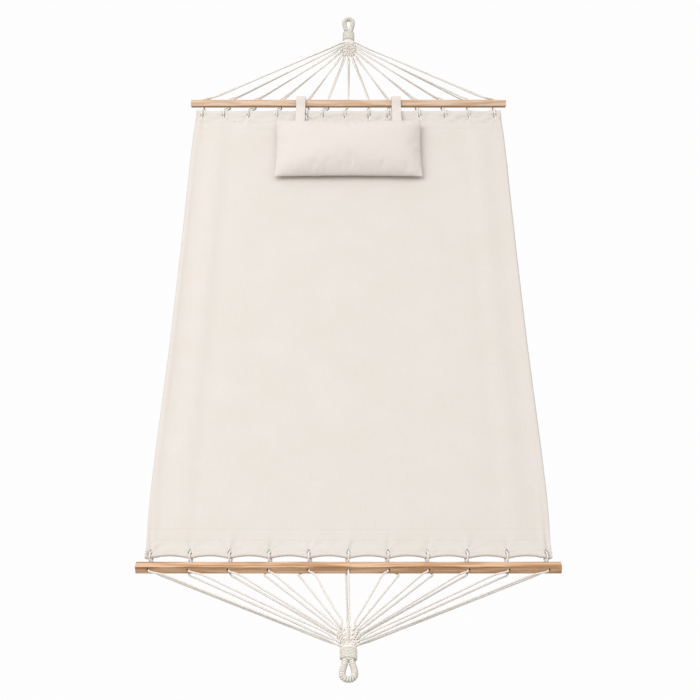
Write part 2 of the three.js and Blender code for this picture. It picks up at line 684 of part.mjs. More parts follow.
// A point of a crowned body that lies wall inside the cover's outside. Its place on the grid is given by two
// shares from -1 to 1, and face is 1 above the seam and -1 below it.
function pillowPoint(s, t, face, wall) {
  const seam = wall ? COVER_SEAM_WIDTH : 0;
  const edge = wall ? 0 : COVER_EDGE_THICKNESS / 2;
  const x = s * (drawnIn(PILLOW_LENGTH / 2, t) - seam - wall);
  const y = t * (drawnIn(PILLOW_DEPTH / 2, s) - seam - wall);
  const rise = ((1 - s ** PILLOW_SQUARENESS) * (1 - t ** PILLOW_SQUARENESS)) ** PILLOW_FULLNESS;
  if (face > 0) return v(x, y, PILLOW_SEAM_HEIGHT + edge + (PILLOW_CROWN_HEIGHT - edge - wall) * rise);
  const belly = PILLOW_SEAM_HEIGHT - edge - (PILLOW_BELLY_DEPTH - edge - wall) * rise;
  return v(x, y, Math.max(belly, bedUnder(x, y) + wall));
}

// A crowned body: two faces over one grid, joined by a narrow edge at the seam
function crowned(wall) {
  const [across, along] = PILLOW_GRID;
  const points = [];
  const faces = [];
  const share = (i, count) => -Math.cos((Math.PI * i) / count);
  for (const face of [1, -1]) {
    for (let i = 0; i <= across; i++) {
      for (let j = 0; j <= along; j++) {
        points.push(pillowPoint(share(i, across), share(j, along), face, wall));
      }
    }
  }
  const top = (i, j) => i * (along + 1) + j;
  const under = (i, j) => top(i, j) + (across + 1) * (along + 1);
  const quad = (a, b, c, d) => faces.push(a, b, c, a, c, d);
  for (let i = 0; i < across; i++) {
    for (let j = 0; j < along; j++) {
      quad(top(i, j), top(i + 1, j), top(i + 1, j + 1), top(i, j + 1));
      quad(under(i, j), under(i, j + 1), under(i + 1, j + 1), under(i + 1, j));
    }
    quad(top(i + 1, 0), top(i, 0), under(i, 0), under(i + 1, 0));
    quad(top(i, along), top(i + 1, along), under(i + 1, along), under(i, along));
  }
  for (let j = 0; j < along; j++) {
    quad(top(0, j), top(0, j + 1), under(0, j + 1), under(0, j));
    quad(top(across, j + 1), top(across, j), under(across, j), under(across, j + 1));
  }
  return indexed(points, faces);
}

function pillowCover(name) {
  const outside = PILLOW_DEPTH / 2 + COVER_SEAM_WIDTH;
  const inside = PILLOW_DEPTH / 2 - PILLOW_DRAW_IN_DEPTH - 4 * COVER_SEAM_WIDTH; // well into the hollow
  const mouth = box(
    v(-COVER_MOUTH_LENGTH / 2, inside, PILLOW_SEAM_HEIGHT - COVER_MOUTH_HEIGHT / 2),
    v(COVER_MOUTH_LENGTH / 2, outside, PILLOW_SEAM_HEIGHT + COVER_MOUTH_HEIGHT / 2),
  );
  const shell = solid(crowned(0)).subtract(solid(crowned(COVER_THICKNESS)));
  return mesh(name, shapeOf(shell.subtract(solid(mouth))), canvas());
}

const pillowFilling = (name) => mesh(name, crowned(COVER_THICKNESS + FILLING_GAP), wadding());

const strapPlace = headInner.at(-1) + LOOP_SHIFT + CORD_RADIUS + STRAP_GAP + STRAP_WIDTH / 2;

// A strap is a band whose two plies leave the pillow's seam together and part round the bar in a loose loop
function strap(name, x) {
  const ply = (STRAP_THICKNESS + HEM_PLY_GAP) / 2;
  const radius = STRAP_LOOP_RADIUS + STRAP_THICKNESS / 2;
  const middle = new THREE.Vector2(STRAP_LOOP_FORWARD, -STRAP_LOOP_DROP);
  const outwards = (degrees, reach) =>
    new THREE.Vector2(reach, 0).rotateAround(new THREE.Vector2(), radians(degrees)).add(middle);
  const pinch = outwards(STRAP_PINCH_ANGLE, STRAP_PINCH_RADIUS);
  const nearest = Math.max(Math.abs(x) - STRAP_WIDTH / 2, 0) / (PILLOW_LENGTH / 2);
  const farthest = (Math.abs(x) + STRAP_WIDTH / 2) / (PILLOW_LENGTH / 2);
  const seamY = drawnIn(PILLOW_DEPTH / 2, Math.max(nearest, farthest)) + CLEARANCE;
  const seam = new THREE.Vector2(
    pillowY + seamY * Math.cos(pillowLean) - PILLOW_SEAM_HEIGHT * Math.sin(pillowLean) - BAR_SPAN / 2,
    pillowBase + seamY * Math.sin(pillowLean) + PILLOW_SEAM_HEIGHT * Math.cos(pillowLean),
  );
  const along = pinch.clone().sub(seam).normalize();
  const across = new THREE.Vector2(-along.y, along.x);
  const shifted = (p, distance) => p.clone().addScaledVector(across, distance);
  const spread = THREE.MathUtils.radToDeg(Math.acos(radius / STRAP_PINCH_RADIUS));
  const arc = Array.from({ length: STRAP_ARC_STEPS + 1 }, (_, i) =>
    outwards(STRAP_PINCH_ANGLE - spread - ((360 - 2 * spread) * i) / STRAP_ARC_STEPS, radius),
  );
  const line = [shifted(seam, ply), shifted(pinch, ply), ...arc, shifted(pinch, -ply), shifted(seam, -ply)];
  const route = line.map((p) => v(0, p.x, p.y));
  const edges = [1, -1].map((side) => offset(route, (side * STRAP_THICKNESS) / 2));
  const ends = [-STRAP_WIDTH / 2, STRAP_WIDTH / 2].map((shift) =>
    [...edges[0], ...[...edges[1]].reverse()].map((p) => v(x + shift, p.y, p.z)).reverse(),
  );
  return mesh(name, skin(ends, stripCap), canvas());
}

// Assembly
const hammock = new THREE.Group();
const number = (i) => String(i + 1).padStart(2, "0");

// One end: its bar and cords, and its fan tilted up towards the hook
function endGroup(name, end, makeCords) {
  const { facing, holes } = end;
  const group = new THREE.Group();
  group.position.y = (facing * BAR_SPAN) / 2;
  group.rotation.z = facing < 0 ? Math.PI : 0;
  group.add(bar(`${name}_bar`, end));
  const middle = (holes.length - 1) / 2;
  holes.forEach((x, i) => {
    const label = facing < 0 ? holes.length - 1 - i : i;
    for (const make of makeCords) group.add(make(number(label), x, (i - middle) / middle));
  });
  const fan = new THREE.Group();
  fan.rotation.x = radians(FAN_RISE);
  fan.add(weave(`${name}_weave`), neck(`${name}_neck`), whipping(`${name}_whipping`));
  fan.add(eye(`${name}_eye`), serving(`${name}_serving`));
  group.add(fan);
  return group;
}

const headCords = [(label, x, share) => headCord(`head_cord_${label}`, x, share)];
const footCords = [
  (label, x, share) => footTie(`foot_tie_${label}`, x, share),
  (label, x, share) => footCord(`foot_cord_${label}`, x, share),
];
hammock.add(endGroup("head", headEnd, headCords));
hammock.add(endGroup("foot", footEnd, footCords));
hammock.add(bedCloth("bed_cloth"));
hammock.add(hemRope("head_hem_rope", headColumns, headEnd));
hammock.add(hemRope("foot_hem_rope", footColumns, footEnd));

const pillow = new THREE.Group();
pillow.position.set(0, pillowY, pillowBase);
pillow.rotation.x = pillowLean;
pillow.add(pillowCover("pillow_cover"), pillowFilling("pillow_filling"));
hammock.add(pillow);

const straps = new THREE.Group();
straps.position.y = BAR_SPAN / 2;
straps.add(strap("pillow_strap_left", -strapPlace), strap("pillow_strap_right", strapPlace));
hammock.add(straps);

// The origin is on the inside of the head eye's tip, where the hook bears on the flat of the middle turn
const servingFlat = servingOutside * Math.cos(Math.PI / SERVING_STEPS);
const hookSeat = tilted(0, eyeTip - servingFlat, 0, FAN_RISE);
hammock.position.set(0, -BAR_SPAN / 2 - hookSeat.y, -hookSeat.z);

const assembly = new THREE.Group();
assembly.add(hammock);
export default assembly;
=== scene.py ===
# %% [markdown]
# # A cloth hammock on two spreader bars
# The hammock hangs between two rope eyes. From each eye a fan of cords runs to a wooden bar that holds the
# cloth wide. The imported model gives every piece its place, so the first step loads it and keeps its box.

# %% Load the frame
import math

import bpy
import numpy as np
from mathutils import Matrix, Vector, noise


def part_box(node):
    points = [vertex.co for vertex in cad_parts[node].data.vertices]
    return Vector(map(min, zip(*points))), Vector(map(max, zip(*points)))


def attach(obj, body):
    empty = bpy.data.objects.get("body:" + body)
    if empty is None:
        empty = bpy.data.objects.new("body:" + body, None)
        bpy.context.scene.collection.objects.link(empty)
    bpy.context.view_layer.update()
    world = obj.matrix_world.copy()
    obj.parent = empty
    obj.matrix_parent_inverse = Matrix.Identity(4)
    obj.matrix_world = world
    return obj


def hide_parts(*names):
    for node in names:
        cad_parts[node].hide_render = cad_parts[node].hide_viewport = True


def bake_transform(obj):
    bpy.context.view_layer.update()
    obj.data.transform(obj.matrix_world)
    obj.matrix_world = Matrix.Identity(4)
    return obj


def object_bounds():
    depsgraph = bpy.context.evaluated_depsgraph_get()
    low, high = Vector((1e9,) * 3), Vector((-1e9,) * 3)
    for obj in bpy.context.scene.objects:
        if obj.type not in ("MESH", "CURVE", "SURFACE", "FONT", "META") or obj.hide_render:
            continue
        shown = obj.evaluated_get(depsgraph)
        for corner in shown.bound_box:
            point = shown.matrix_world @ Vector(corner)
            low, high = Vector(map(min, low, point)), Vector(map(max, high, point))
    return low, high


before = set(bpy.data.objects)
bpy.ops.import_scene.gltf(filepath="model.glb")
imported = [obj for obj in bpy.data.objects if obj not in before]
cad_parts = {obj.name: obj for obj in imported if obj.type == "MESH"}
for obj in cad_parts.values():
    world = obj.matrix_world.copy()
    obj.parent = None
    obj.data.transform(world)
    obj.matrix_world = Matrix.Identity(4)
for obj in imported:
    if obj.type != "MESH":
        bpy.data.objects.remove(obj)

cad_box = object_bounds()
scene = bpy.context.scene
print("size in metres", [round(b - a, 3) for a, b in zip(*cad_box)])


# %% Object helpers
def set_all(thing, **settings):
    """Give a thing several settings at once."""
    for name, value in settings.items():
        setattr(thing, name, value)
    return thing


def new_object(name, data, **settings):
    """An object in the scene that holds a camera, a light or a mesh."""
    made = bpy.data.objects.new(name, data)
    scene.collection.objects.link(made)
    return set_all(made, **settings)


def new_mesh(name, points, faces):
    mesh = bpy.data.meshes.new(name)
    mesh.from_pydata(np.asarray(points, float).tolist(), [], faces)
    return mesh


def aimed(direction):
    """The turn that points a camera or a light that way."""
    return direction.to_track_quat("-Z", "Y").to_euler()


# %% [markdown]
# ## Camera
# The picture was taken from the foot, high up, looking down onto the bed. A long lens stands well back, so
# the bars stay straight and the head end is only a little smaller. The focal length in pixels was worked
# out from how much shorter the head bar looks than the foot bar.

# %% Camera
PICTURE_PIXELS = 700
FOCAL_PIXELS = 1140
SENSOR_MM = 36.0
CENTRE_LINE_PIXELS = 348.5
CAMERA_PLACE = Vector((0.0, -3.9909, 3.0856))
CAMERA_VIEW = Vector((0.0, 0.5906, -0.8070))

lens = bpy.data.cameras.new("photo_camera")
set_all(lens, sensor_width=SENSOR_MM, lens=SENSOR_MM * FOCAL_PIXELS / PICTURE_PIXELS, clip_end=100,
        shift_x=(PICTURE_PIXELS / 2 - CENTRE_LINE_PIXELS) / PICTURE_PIXELS)
scene.camera = new_object("photo_camera", lens, location=CAMERA_PLACE, rotation_euler=aimed(CAMERA_VIEW))
print("lens", round(lens.lens, 2), "mm")

# %% [markdown]
# ## Colours and nodes
# Colours are picked as they look on a screen, as sRGB hex values. Blender reckons with linear light, so one
# function turns them over. Another small one adds a node, sets it, joins it up and hands on one of its
# outputs.

# %% Colour and node helpers
# Numbers of a colour mix's inputs and output, which share their names with those for plain numbers
SHARE, COLOUR_A, COLOUR_B, MIXED = 0, 6, 7, 2


def linear(hex_colour):
    """An sRGB hex colour as linear RGBA."""
    channels = [int(hex_colour[i:i + 2], 16) / 255 for i in (1, 3, 5)]
    return (*[c / 12.92 if c <= 0.04045 else ((c + 0.055) / 1.055) ** 2.4 for c in channels], 1.0)


def set_inputs(tree, node, inputs):
    """Give a node its inputs, each a value or a socket that it is joined to."""
    for name, value in inputs.items():
        if isinstance(value, bpy.types.NodeSocket):
            tree.links.new(value, node.inputs[name])
        else:
            node.inputs[name].default_value = value


def add_node(tree, kind, inputs, output=0, **settings):
    """A new node with its inputs and settings. Gives the output that is asked for."""
    made = set_all(tree.nodes.new("ShaderNode" + kind), **settings)
    set_inputs(tree, made, inputs)
    return made.outputs[output]


def new_material(name):
    material = bpy.data.materials.new(name)
    material.use_nodes = True
    return material, material.node_tree, material.node_tree.nodes["Principled BSDF"]


# %% [markdown]
# ## Floor, world and light
# The picture is cut out on plain white, so it shows no floor and no shadow. A floor and a world that look
# pure white to the camera do the same. What lights the hammock is apart from that: a sky that is brightest
# a little behind the head end's zenith and a dull floor, so the faces that look to the foot, sideways or
# down come out darker, as they do in the picture. One large soft light from the upper left adds a faint
# direction.

# %% Floor, world and light
FLOOR_DROP = 1.2  # metres below the hammock
FLOOR_HALF = 30.0
PAPER_WHITE = 0.985
SKY_LOW = 0.50
SKY_HIGH = 1.20
SKY_AXIS = Vector((0.0, 0.26, 0.966))  # towards its brightest part
KEY_WATTS = 105.0
KEY_SIZE = 4.0
KEY_PLACE = Vector((-2.6, -0.8, 4.0))


def seen_white(tree, lit, output):
    """Plain white for the camera, and the given shader for the light that falls on the hammock."""
    seen = add_node(tree, "LightPath", {}, "Is Camera Ray")
    paper = add_node(tree, "Emission", {"Strength": PAPER_WHITE})
    set_inputs(tree, output, {"Surface": add_node(tree, "MixShader", {0: seen, 1: lit, 2: paper})})


scene.view_settings.view_transform = "Standard"
room = bpy.data.worlds.new("white_room")
room.use_nodes = True
tree = room.node_tree
direction = add_node(tree, "TexCoord", {}, "Generated")
height = add_node(tree, "VectorMath", {0: direction, 1: SKY_AXIS}, "Value", operation="DOT_PRODUCT")
strength = add_node(tree, "MapRange", {"Value": height, "To Min": SKY_LOW, "To Max": SKY_HIGH})
sky = tree.nodes["Background"]
set_inputs(tree, sky, {"Color": linear("#fffdfb"), "Strength": strength})
seen_white(tree, sky.outputs[0], tree.nodes["World Output"])
scene.world = room

floor_height = cad_box[0].z - FLOOR_DROP
corners = [(x * FLOOR_HALF, y * FLOOR_HALF, floor_height) for x, y in ((-1, -1), (1, -1), (1, 1), (-1, 1))]
floor = new_object("floor", new_mesh("floor", corners, [(0, 1, 2, 3)]))
paint, tree, shader = new_material("dull_floor_paint")
set_inputs(tree, shader, {"Base Color": linear("#a09b93"), "Roughness": 0.9})
seen_white(tree, shader.outputs[0], tree.nodes["Material Output"])
floor.data.materials.append(paint)

key_data = set_all(bpy.data.lights.new("soft_key", "AREA"), energy=KEY_WATTS, size=KEY_SIZE)
hammock_middle = (cad_box[0] + cad_box[1]) / 2
new_object("soft_key", key_data, location=KEY_PLACE, rotation_euler=aimed(hammock_middle - KEY_PLACE))
print("floor at", round(floor_height, 3), "m")

# %% [markdown]
# ## Wood of the bars
# The bars are oiled battens of a pale hardwood. Long grain runs from end to end, with darker late wood and
# short fine pores. Rings round a pith that lies outside the batten, stretched along it, give both the lines
# on the sides and the arcs on the sawn ends. Real rings lie a few millimetres apart, which is finer than a
# pixel here, so they are drawn 20 mm apart. The two battens come from different boards: the head's is paler
# and plainer.

# %% Oiled hardwood
WAVE_LENGTH = 2 * math.pi / 20  # of the wave texture, at a scale of 1
RING_WIDTH_MM = 20.106  # several times the real width, or it wouldn't show
PITH_PLACE = (0.0, 0.3, 0.21)  # metres from the batten's middle
RING_STRETCH = (0.012, 1.0, 1.0)  # along the batten the rings hardly change
GRAIN_WANDER = (0.0, 0.02, 0.02)  # metres
WANDER_SCALE = (0.9, 9.0, 9.0)
PORE_MM = (45.0, 0.9)  # length and width
STREAK_MM = (170.0, 8.5)


def oiled_hardwood(name, light, dark, streak, pore_share):
    """Planed and oiled: a soft gloss, an even tan and grain that is only a little darker."""
    material, tree, shader = new_material(name)
    place = add_node(tree, "TexCoord", {}, "Object")
    drift = add_node(tree, "Mapping", {"Vector": place, "Scale": WANDER_SCALE})
    wander = add_node(tree, "TexNoise", {"Vector": drift, "Scale": 1.0, "Detail": 3.0}, "Color")
    about_pith = add_node(tree, "Mapping", {"Vector": place, "Location": PITH_PLACE, "Scale": RING_STRETCH})
    bent = add_node(tree, "VectorMath", {0: wander, 1: GRAIN_WANDER, 2: about_pith}, operation="MULTIPLY_ADD")
    rings = add_node(tree, "TexWave", {
        "Vector": bent, "Scale": 1000 * WAVE_LENGTH / RING_WIDTH_MM, "Distortion": 0.6, "Detail": 2.0,
        "Detail Scale": 2.0}, "Fac", wave_type="RINGS", rings_direction="X", wave_profile="SAW")
    grain = []
    for (length, width), detail, roughness in ((PORE_MM, 4.0, 0.6), (STREAK_MM, 2.0, 0.5)):
        drawn_out = add_node(tree, "Mapping", {
            "Vector": place, "Scale": (1000 / length, 1000 / width, 1000 / width)})
        grain.append(add_node(tree, "TexNoise", {
            "Vector": drawn_out, "Scale": 1.0, "Detail": detail, "Roughness": roughness}, "Fac"))
    pores, streaks = grain
    tone = add_node(tree, "ValToRGB", {"Fac": rings})
    early_wood, late_wood = tone.node.color_ramp.elements
    set_all(early_wood, color=linear(light), position=0.15)
    set_all(late_wood, color=linear(dark))
    marks = (({"Value": pores, "From Min": 0.56, "From Max": 0.72, "To Max": pore_share}, "#835836"),
             ({"Value": streaks, "From Min": 0.44, "From Max": 0.56}, streak))
    for reach, colour in marks:
        share = add_node(tree, "MapRange", reach)
        tone = add_node(tree, "Mix", {SHARE: share, COLOUR_A: tone, COLOUR_B: linear(colour)}, MIXED,
                        data_type="RGBA")
    relief = add_node(tree, "Bump", {"Height": pores, "Strength": 0.25, "Distance": 0.0004})
    set_inputs(tree, shader, {
        "Base Color": tone, "Normal": relief, "Roughness": 0.48, "IOR": 1.5, "Specular IOR Level": 0.3})
    return material


BAR_WOOD = {
    "head": oiled_hardwood("oiled_hardwood_head", "#d2b69c", "#c6a487", "#dabfa6", 0.3),
    "foot": oiled_hardwood("oiled_hardwood_foot", "#c9a07c", "#a6774e", "#dcb795", 0.55),
}
print("made", [wood.name for wood in BAR_WOOD.values()])

# %% [markdown]
# ## Cotton cord
# The cords are three-strand cotton rope, off-white and matt, with short fibres that stand off the surface.
# The strands are real shape here, so the material only adds the yarns, painted shade that greys the groove
# between strands, and a soft sheen. Each rope carries an attribute called lay, its place on the straight
# rope, so the yarns and the painted groove shade follow it.

# %% Laid cotton cord
YARN_WIDTH_MM = 0.7
YARN_STRETCH = (1.0, 1.0, 0.12)
ROPE_GROOVE = 0.86  # a groove's depth as a share of the rope's radius, and where the painted groove shade is darkest
GROOVE_SHADE_EDGE = 0.92  # where the painted groove shade ends
CORD_RADIUS = 3.2


def laid_cotton(name, light, dark):
    """Undyed cotton rope: rough and nearly white, with painted shade that greys it down in the grooves."""
    material, tree, shader = new_material(name)
    lay = add_node(tree, "Attribute", {}, "Vector", attribute_name="lay")
    drawn_out = add_node(tree, "Mapping", {"Vector": lay, "Scale": YARN_STRETCH})
    yarns = add_node(tree, "TexNoise", {
        "Vector": drawn_out, "Scale": 1000 / YARN_WIDTH_MM, "Detail": 2.0}, "Fac")
    across = add_node(tree, "VectorMath", {0: lay, 1: (1.0, 1.0, 0.0)}, operation="MULTIPLY")
    reach = add_node(tree, "VectorMath", {0: across}, "Value", operation="LENGTH")
    # Painted shade: the rope is drawn darker where a point lies deep in a groove between strands.
    groove_shade_mask = add_node(tree, "MapRange", {
        "Value": reach, "From Min": ROPE_GROOVE * CORD_RADIUS / 1000,
        "From Max": GROOVE_SHADE_EDGE * CORD_RADIUS / 1000})
    tone = add_node(tree, "Mix", {SHARE: groove_shade_mask, COLOUR_A: linear(dark), COLOUR_B: linear(light)}, MIXED,
                    data_type="RGBA")
    uneven = add_node(tree, "MapRange", {
        "Value": yarns, "From Min": 0.3, "From Max": 0.7, "To Min": 0.94, "To Max": 1.04})
    toned = add_node(tree, "Mix", {SHARE: 1.0, COLOUR_A: tone, COLOUR_B: uneven}, MIXED, data_type="RGBA",
                     blend_type="MULTIPLY")
    relief = add_node(tree, "Bump", {"Height": yarns, "Strength": 0.5, "Distance": 0.0003})
    set_inputs(tree, shader, {
        "Base Color": toned, "Normal": relief, "Roughness": 0.88, "IOR": 1.45, "Sheen Weight": 0.15,
        "Sheen Roughness": 0.5})
    return material


# The second colour of each is painted shade, for the grooves between strands.
cotton_cord = laid_cotton("laid_cotton_cord", "#f4efe9", "#e4ded6")
whipping_twine = laid_cotton("cotton_whipping_twine", "#efebe3", "#d3cec5")
print("made", cotton_cord.name, whipping_twine.name)

# %% [markdown]
# ## Canvas
# The bed and the pillow are undyed cotton duck, a plain weave. Its threads lie about half a millimetre
# apart, far too fine for this picture, so they are drawn 7.5 mm apart, and very shallow. Thicker slubs in
# the yarn and a faint unevenness of the raw cotton show from further off. The lay attribute holds the flat
# cloth's own place in metres.

# %% Cotton duck
THREAD_SPACING_MM = 7.54  # many times the real spacing, or it wouldn't show
SLUB_LENGTH_MM = 60.0
SLUB_WIDTH_MM = 1.6
SLUB_RELIEF = 1.5  # beside that of the threads
CLOUD_SIZE_MM = 180.0


def cotton_duck(name, light, dark):
    """Undyed plain-weave canvas: matt, warm white, with a shallow grid of threads."""
    material, tree, shader = new_material(name)
    lay = add_node(tree, "Attribute", {}, "Vector", attribute_name="lay")
    threads, slubs = [], []
    for axis, size in (("X", (SLUB_LENGTH_MM, SLUB_WIDTH_MM)), ("Y", (SLUB_WIDTH_MM, SLUB_LENGTH_MM))):
        threads.append(add_node(tree, "TexWave", {
            "Vector": lay, "Scale": 1000 * WAVE_LENGTH / THREAD_SPACING_MM, "Distortion": 0.4, "Detail": 1.0,
            "Detail Scale": 0.5}, "Fac", bands_direction=axis))
        drawn_out = add_node(tree, "Mapping", {"Vector": lay, "Scale": (1000 / size[0], 1000 / size[1], 1.0)})
        slubs.append(add_node(tree, "TexNoise", {"Vector": drawn_out, "Scale": 1.0, "Detail": 2.0}, "Fac"))
    weave, slub = [add_node(tree, "Math", {0: a, 1: b}, operation="ADD") for a, b in (threads, slubs)]
    clouds = add_node(tree, "TexNoise", {
        "Vector": lay, "Scale": 1000 / CLOUD_SIZE_MM, "Detail": 4.0}, "Fac")
    cloud_share = add_node(tree, "MapRange", {
        "Value": clouds, "From Min": 0.3, "From Max": 0.7, "To Max": 0.7})
    slub_tone = add_node(tree, "MapRange", {
        "Value": slub, "From Min": 0.8, "From Max": 1.35, "To Min": 0.965, "To Max": 1.02})
    tone = add_node(tree, "Mix", {SHARE: cloud_share, COLOUR_A: linear(light), COLOUR_B: linear(dark)}, MIXED,
                    data_type="RGBA")
    toned = add_node(tree, "Mix", {SHARE: 1.0, COLOUR_A: tone, COLOUR_B: slub_tone}, MIXED, data_type="RGBA",
                     blend_type="MULTIPLY")
    surface = add_node(tree, "Math", {0: slub, 1: SLUB_RELIEF, 2: weave}, operation="MULTIPLY_ADD")
    relief = add_node(tree, "Bump", {"Height": surface, "Strength": 0.15, "Distance": 0.0002})
    set_inputs(tree, shader, {
        "Base Color": toned, "Normal": relief, "Roughness": 0.9, "IOR": 1.45, "Specular IOR Level": 0.3,
        "Sheen Weight": 0.1, "Sheen Roughness": 0.6})
    return material


bed_canvas = cotton_duck("cotton_duck_bed", "#d9d3ce", "#d6d0c7")
pillow_canvas = cotton_duck("cotton_duck_pillow", "#dbd4d0", "#d9d1ca")
# Its second colour is painted shade, for the grooves between strands.
thread = laid_cotton("sewing_thread", "#d8d0c6", "#c9bfb2")
print("made", bed_canvas.name, pillow_canvas.name, thread.name)

# %% [markdown]
# ## Places
# Each end has its own frame, in millimetres: x across, y outwards from the bar's axis, z up. A function
# turns such points into metres in the row's frame. The bars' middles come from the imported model. Most sizes
# below are those of the solids, and a few follow the picture more closely.

# %% Frames of the two ends
MM = 0.001
FACING = {"head": 1, "foot": -1}
HOLES = {
    "head": np.array([-604, -497.5, -391, -284.5, -171, -89, 0, 89, 171, 284.5, 391, 497.5, 604]),
    "foot": np.arange(-5, 6) * 122.0,
}
ROLL = {"head": 31.0, "foot": 28.0}  # how far each bar has rolled, with its holes turned up to the fan
CLEW_BODY = {"head": "sling", "foot": "foot_clew"}
FAN_RISE = 17.0


def middle_of(node):
    low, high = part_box(node)
    return np.array([(a + b) / 2 for a, b in zip(low, high)])


BAR_MIDDLE = {end: middle_of(f"{end}_bar") for end in FACING}
BED_MIDDLE = (BAR_MIDDLE["head"] + BAR_MIDDLE["foot"]) / 2


def xyz(x, y, z):
    """Points from their three coordinates, each a number or an array."""
    return np.stack(np.broadcast_arrays(x, y, z), axis=-1).astype(float)


def tilted(points, degrees):
    """Points turned up about the bar's axis."""
    cosine, sine = math.cos(math.radians(degrees)), math.sin(math.radians(degrees))
    x, y, z = np.moveaxis(np.asarray(points, float), -1, 0)
    return xyz(x, y * cosine - z * sine, y * sine + z * cosine)


def place(end, points):
    """Millimetres in one end's frame as metres in the row's frame."""
    facing = FACING[end]
    return BAR_MIDDLE[end] + np.asarray(points, float) * (facing * MM, facing * MM, MM)


def in_fan(end, points):
    """The same for points in the plane of the end's fan."""
    return place(end, tilted(points, FAN_RISE))


print("bar middles", {end: middle.round(4).tolist() for end, middle in BAR_MIDDLE.items()})


# %% A piece from points and faces
def add_piece(name, points, faces, material, body=None, stands_for=(), lay=None):
    """A smooth mesh in metres, riding on a body. lay is each point's place on the flat or straight piece."""
    mesh = new_mesh(name, points, faces)
    mesh.shade_smooth()
    mesh.materials.append(material)
    if lay is not None:
        attribute = mesh.attributes.new("lay", "FLOAT_VECTOR", "POINT")
        attribute.data.foreach_set("vector", np.asarray(lay, np.float32).ravel())
    piece = new_object(name, mesh)
    if body:
        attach(piece, body)
    if stands_for:
        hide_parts(*stands_for)
    return piece


def modify(piece, kind, **settings):
    """Add a modifier with its settings."""
    set_all(piece.modifiers.new(kind.lower(), kind), **settings)


def freeze(piece):
    """Apply the piece's modifiers to its mesh."""
    shape = piece.evaluated_get(bpy.context.evaluated_depsgraph_get())
    mesh = bpy.data.meshes.new_from_object(shape)
    piece.modifiers.clear()
    piece.data = mesh


def thicken(sheet, thickness):
    """Give a sheet its thickness in millimetres, half of it on each side."""
    modify(sheet, "SOLIDIFY", thickness=thickness * MM, offset=0)
    freeze(sheet)


def skin_faces(rings, count, first=0):
    """Quads between rings of as many points, and a cap on each end."""
    faces = []
    for i in range(rings - 1):
        low, high = first + i * count, first + (i + 1) * count
        faces += [(low + j, low + (j + 1) % count, high + (j + 1) % count, high + j) for j in range(count)]
    last = first + (rings - 1) * count
    return faces + [tuple(range(first + count - 1, first - 1, -1)), tuple(range(last, last + count))]


# %% [markdown]
# ## Spreader bars
# Each bar is a square batten, 26 mm thick, with its long edges rounded over and a row of drilled holes
# whose rims are eased so that they don't cut the cords. A bevelled box with cutters taken out of it makes
# the same thing. The cutters are turned profiles that flare a little where they leave the wood.

# %% Spreader bars
BAR_LENGTH = 1300.0
BAR_SIDE = 26.0
BAR_ROUNDING = 1.4
BAR_SHARP_ANGLE = math.radians(32)
HOLE_RADIUS = 5.8
HOLE_EASE = 0.9
HOLE_SIDES = 24
BOX_FACES = [(0, 1, 3, 2), (4, 6, 7, 5), (0, 4, 5, 1), (2, 3, 7, 6), (0, 2, 6, 4), (1, 5, 7, 3)]


def hole_cutters(holes):
    """One mesh with a turned body for each hole, along the bar's depth. Its faces look inwards."""
    half = BAR_SIDE / 2
    flare = [(HOLE_RADIUS + 2 * HOLE_EASE, -half - HOLE_EASE), (HOLE_RADIUS + HOLE_EASE, -half),
             (HOLE_RADIUS + HOLE_EASE / 3, -half + HOLE_EASE / 3), (HOLE_RADIUS, -half + HOLE_EASE)]
    profile = flare + [(radius, -y) for radius, y in reversed(flare)]
    turn = np.arange(HOLE_SIDES) * 2 * np.pi / HOLE_SIDES
    rings, faces = [], []
    for x in holes:
        cutter = skin_faces(len(profile), HOLE_SIDES, len(rings) * HOLE_SIDES)
        faces += [tuple(reversed(face)) for face in cutter]
        rings += [xyz(x + radius * np.cos(turn), y, radius * np.sin(turn)) for radius, y in profile]
    return new_mesh("cutters", np.vstack(rings), faces)


def spreader_bar(end):
    cutters = new_object("cutters", hole_cutters(HOLES[end]))
    half_sizes = np.array([BAR_LENGTH, BAR_SIDE, BAR_SIDE]) / 2
    box = [half_sizes * (x, y, z) for x in (-1, 1) for y in (-1, 1) for z in (-1, 1)]
    bar = add_piece(f"{end}_spreader_bar", box, BOX_FACES, BAR_WOOD[end], "sling", [f"{end}_bar"])
    modify(bar, "BEVEL", width=BAR_ROUNDING, segments=4)
    modify(bar, "BOOLEAN", operation="DIFFERENCE", solver="EXACT", object=cutters)
    freeze(bar)
    bpy.data.objects.remove(cutters)
    points = place(end, tilted([vertex.co for vertex in bar.data.vertices], ROLL[end]))
    bar.data.vertices.foreach_set("co", points.astype(np.float32).ravel())
    bar.data.update()
    bar.data.set_sharp_from_angle(angle=BAR_SHARP_ANGLE)
    print(bar.name, "has", len(bar.data.polygons), "faces")


for end in FACING:
    spreader_bar(end)

# %% [markdown]
# ## Rope
# A laid rope is three strands twisted round each other. Its section is three lobes with a groove between
# them, and that section turns once for each length of lay. A tube whose rings turn like this gives the real
# outline and the slanting strands, and its long edges follow the strands, so few rings are enough.

# %% Line helpers
CURVE_STEPS = 12  # between two stations, before the line is evened


def unit(vectors):
    """The same directions, each 1 long."""
    return vectors / np.linalg.norm(vectors, axis=-1, keepdims=True)


def lengths_along(line):
    """How far along the line each of its points is."""
    return np.concatenate([[0], np.cumsum(np.linalg.norm(np.diff(line, axis=0), axis=1))])


def read_off(places, known, values):
    """Points between others: values are those at the known places."""
    return np.stack([np.interp(places, known, axis) for axis in values.T], axis=1)


def evened(line, spacing):
    """The same line with its points at even distances."""
    along = lengths_along(line)
    return read_off(np.linspace(0, along[-1], max(2, round(along[-1] / spacing) + 1)), along, line)


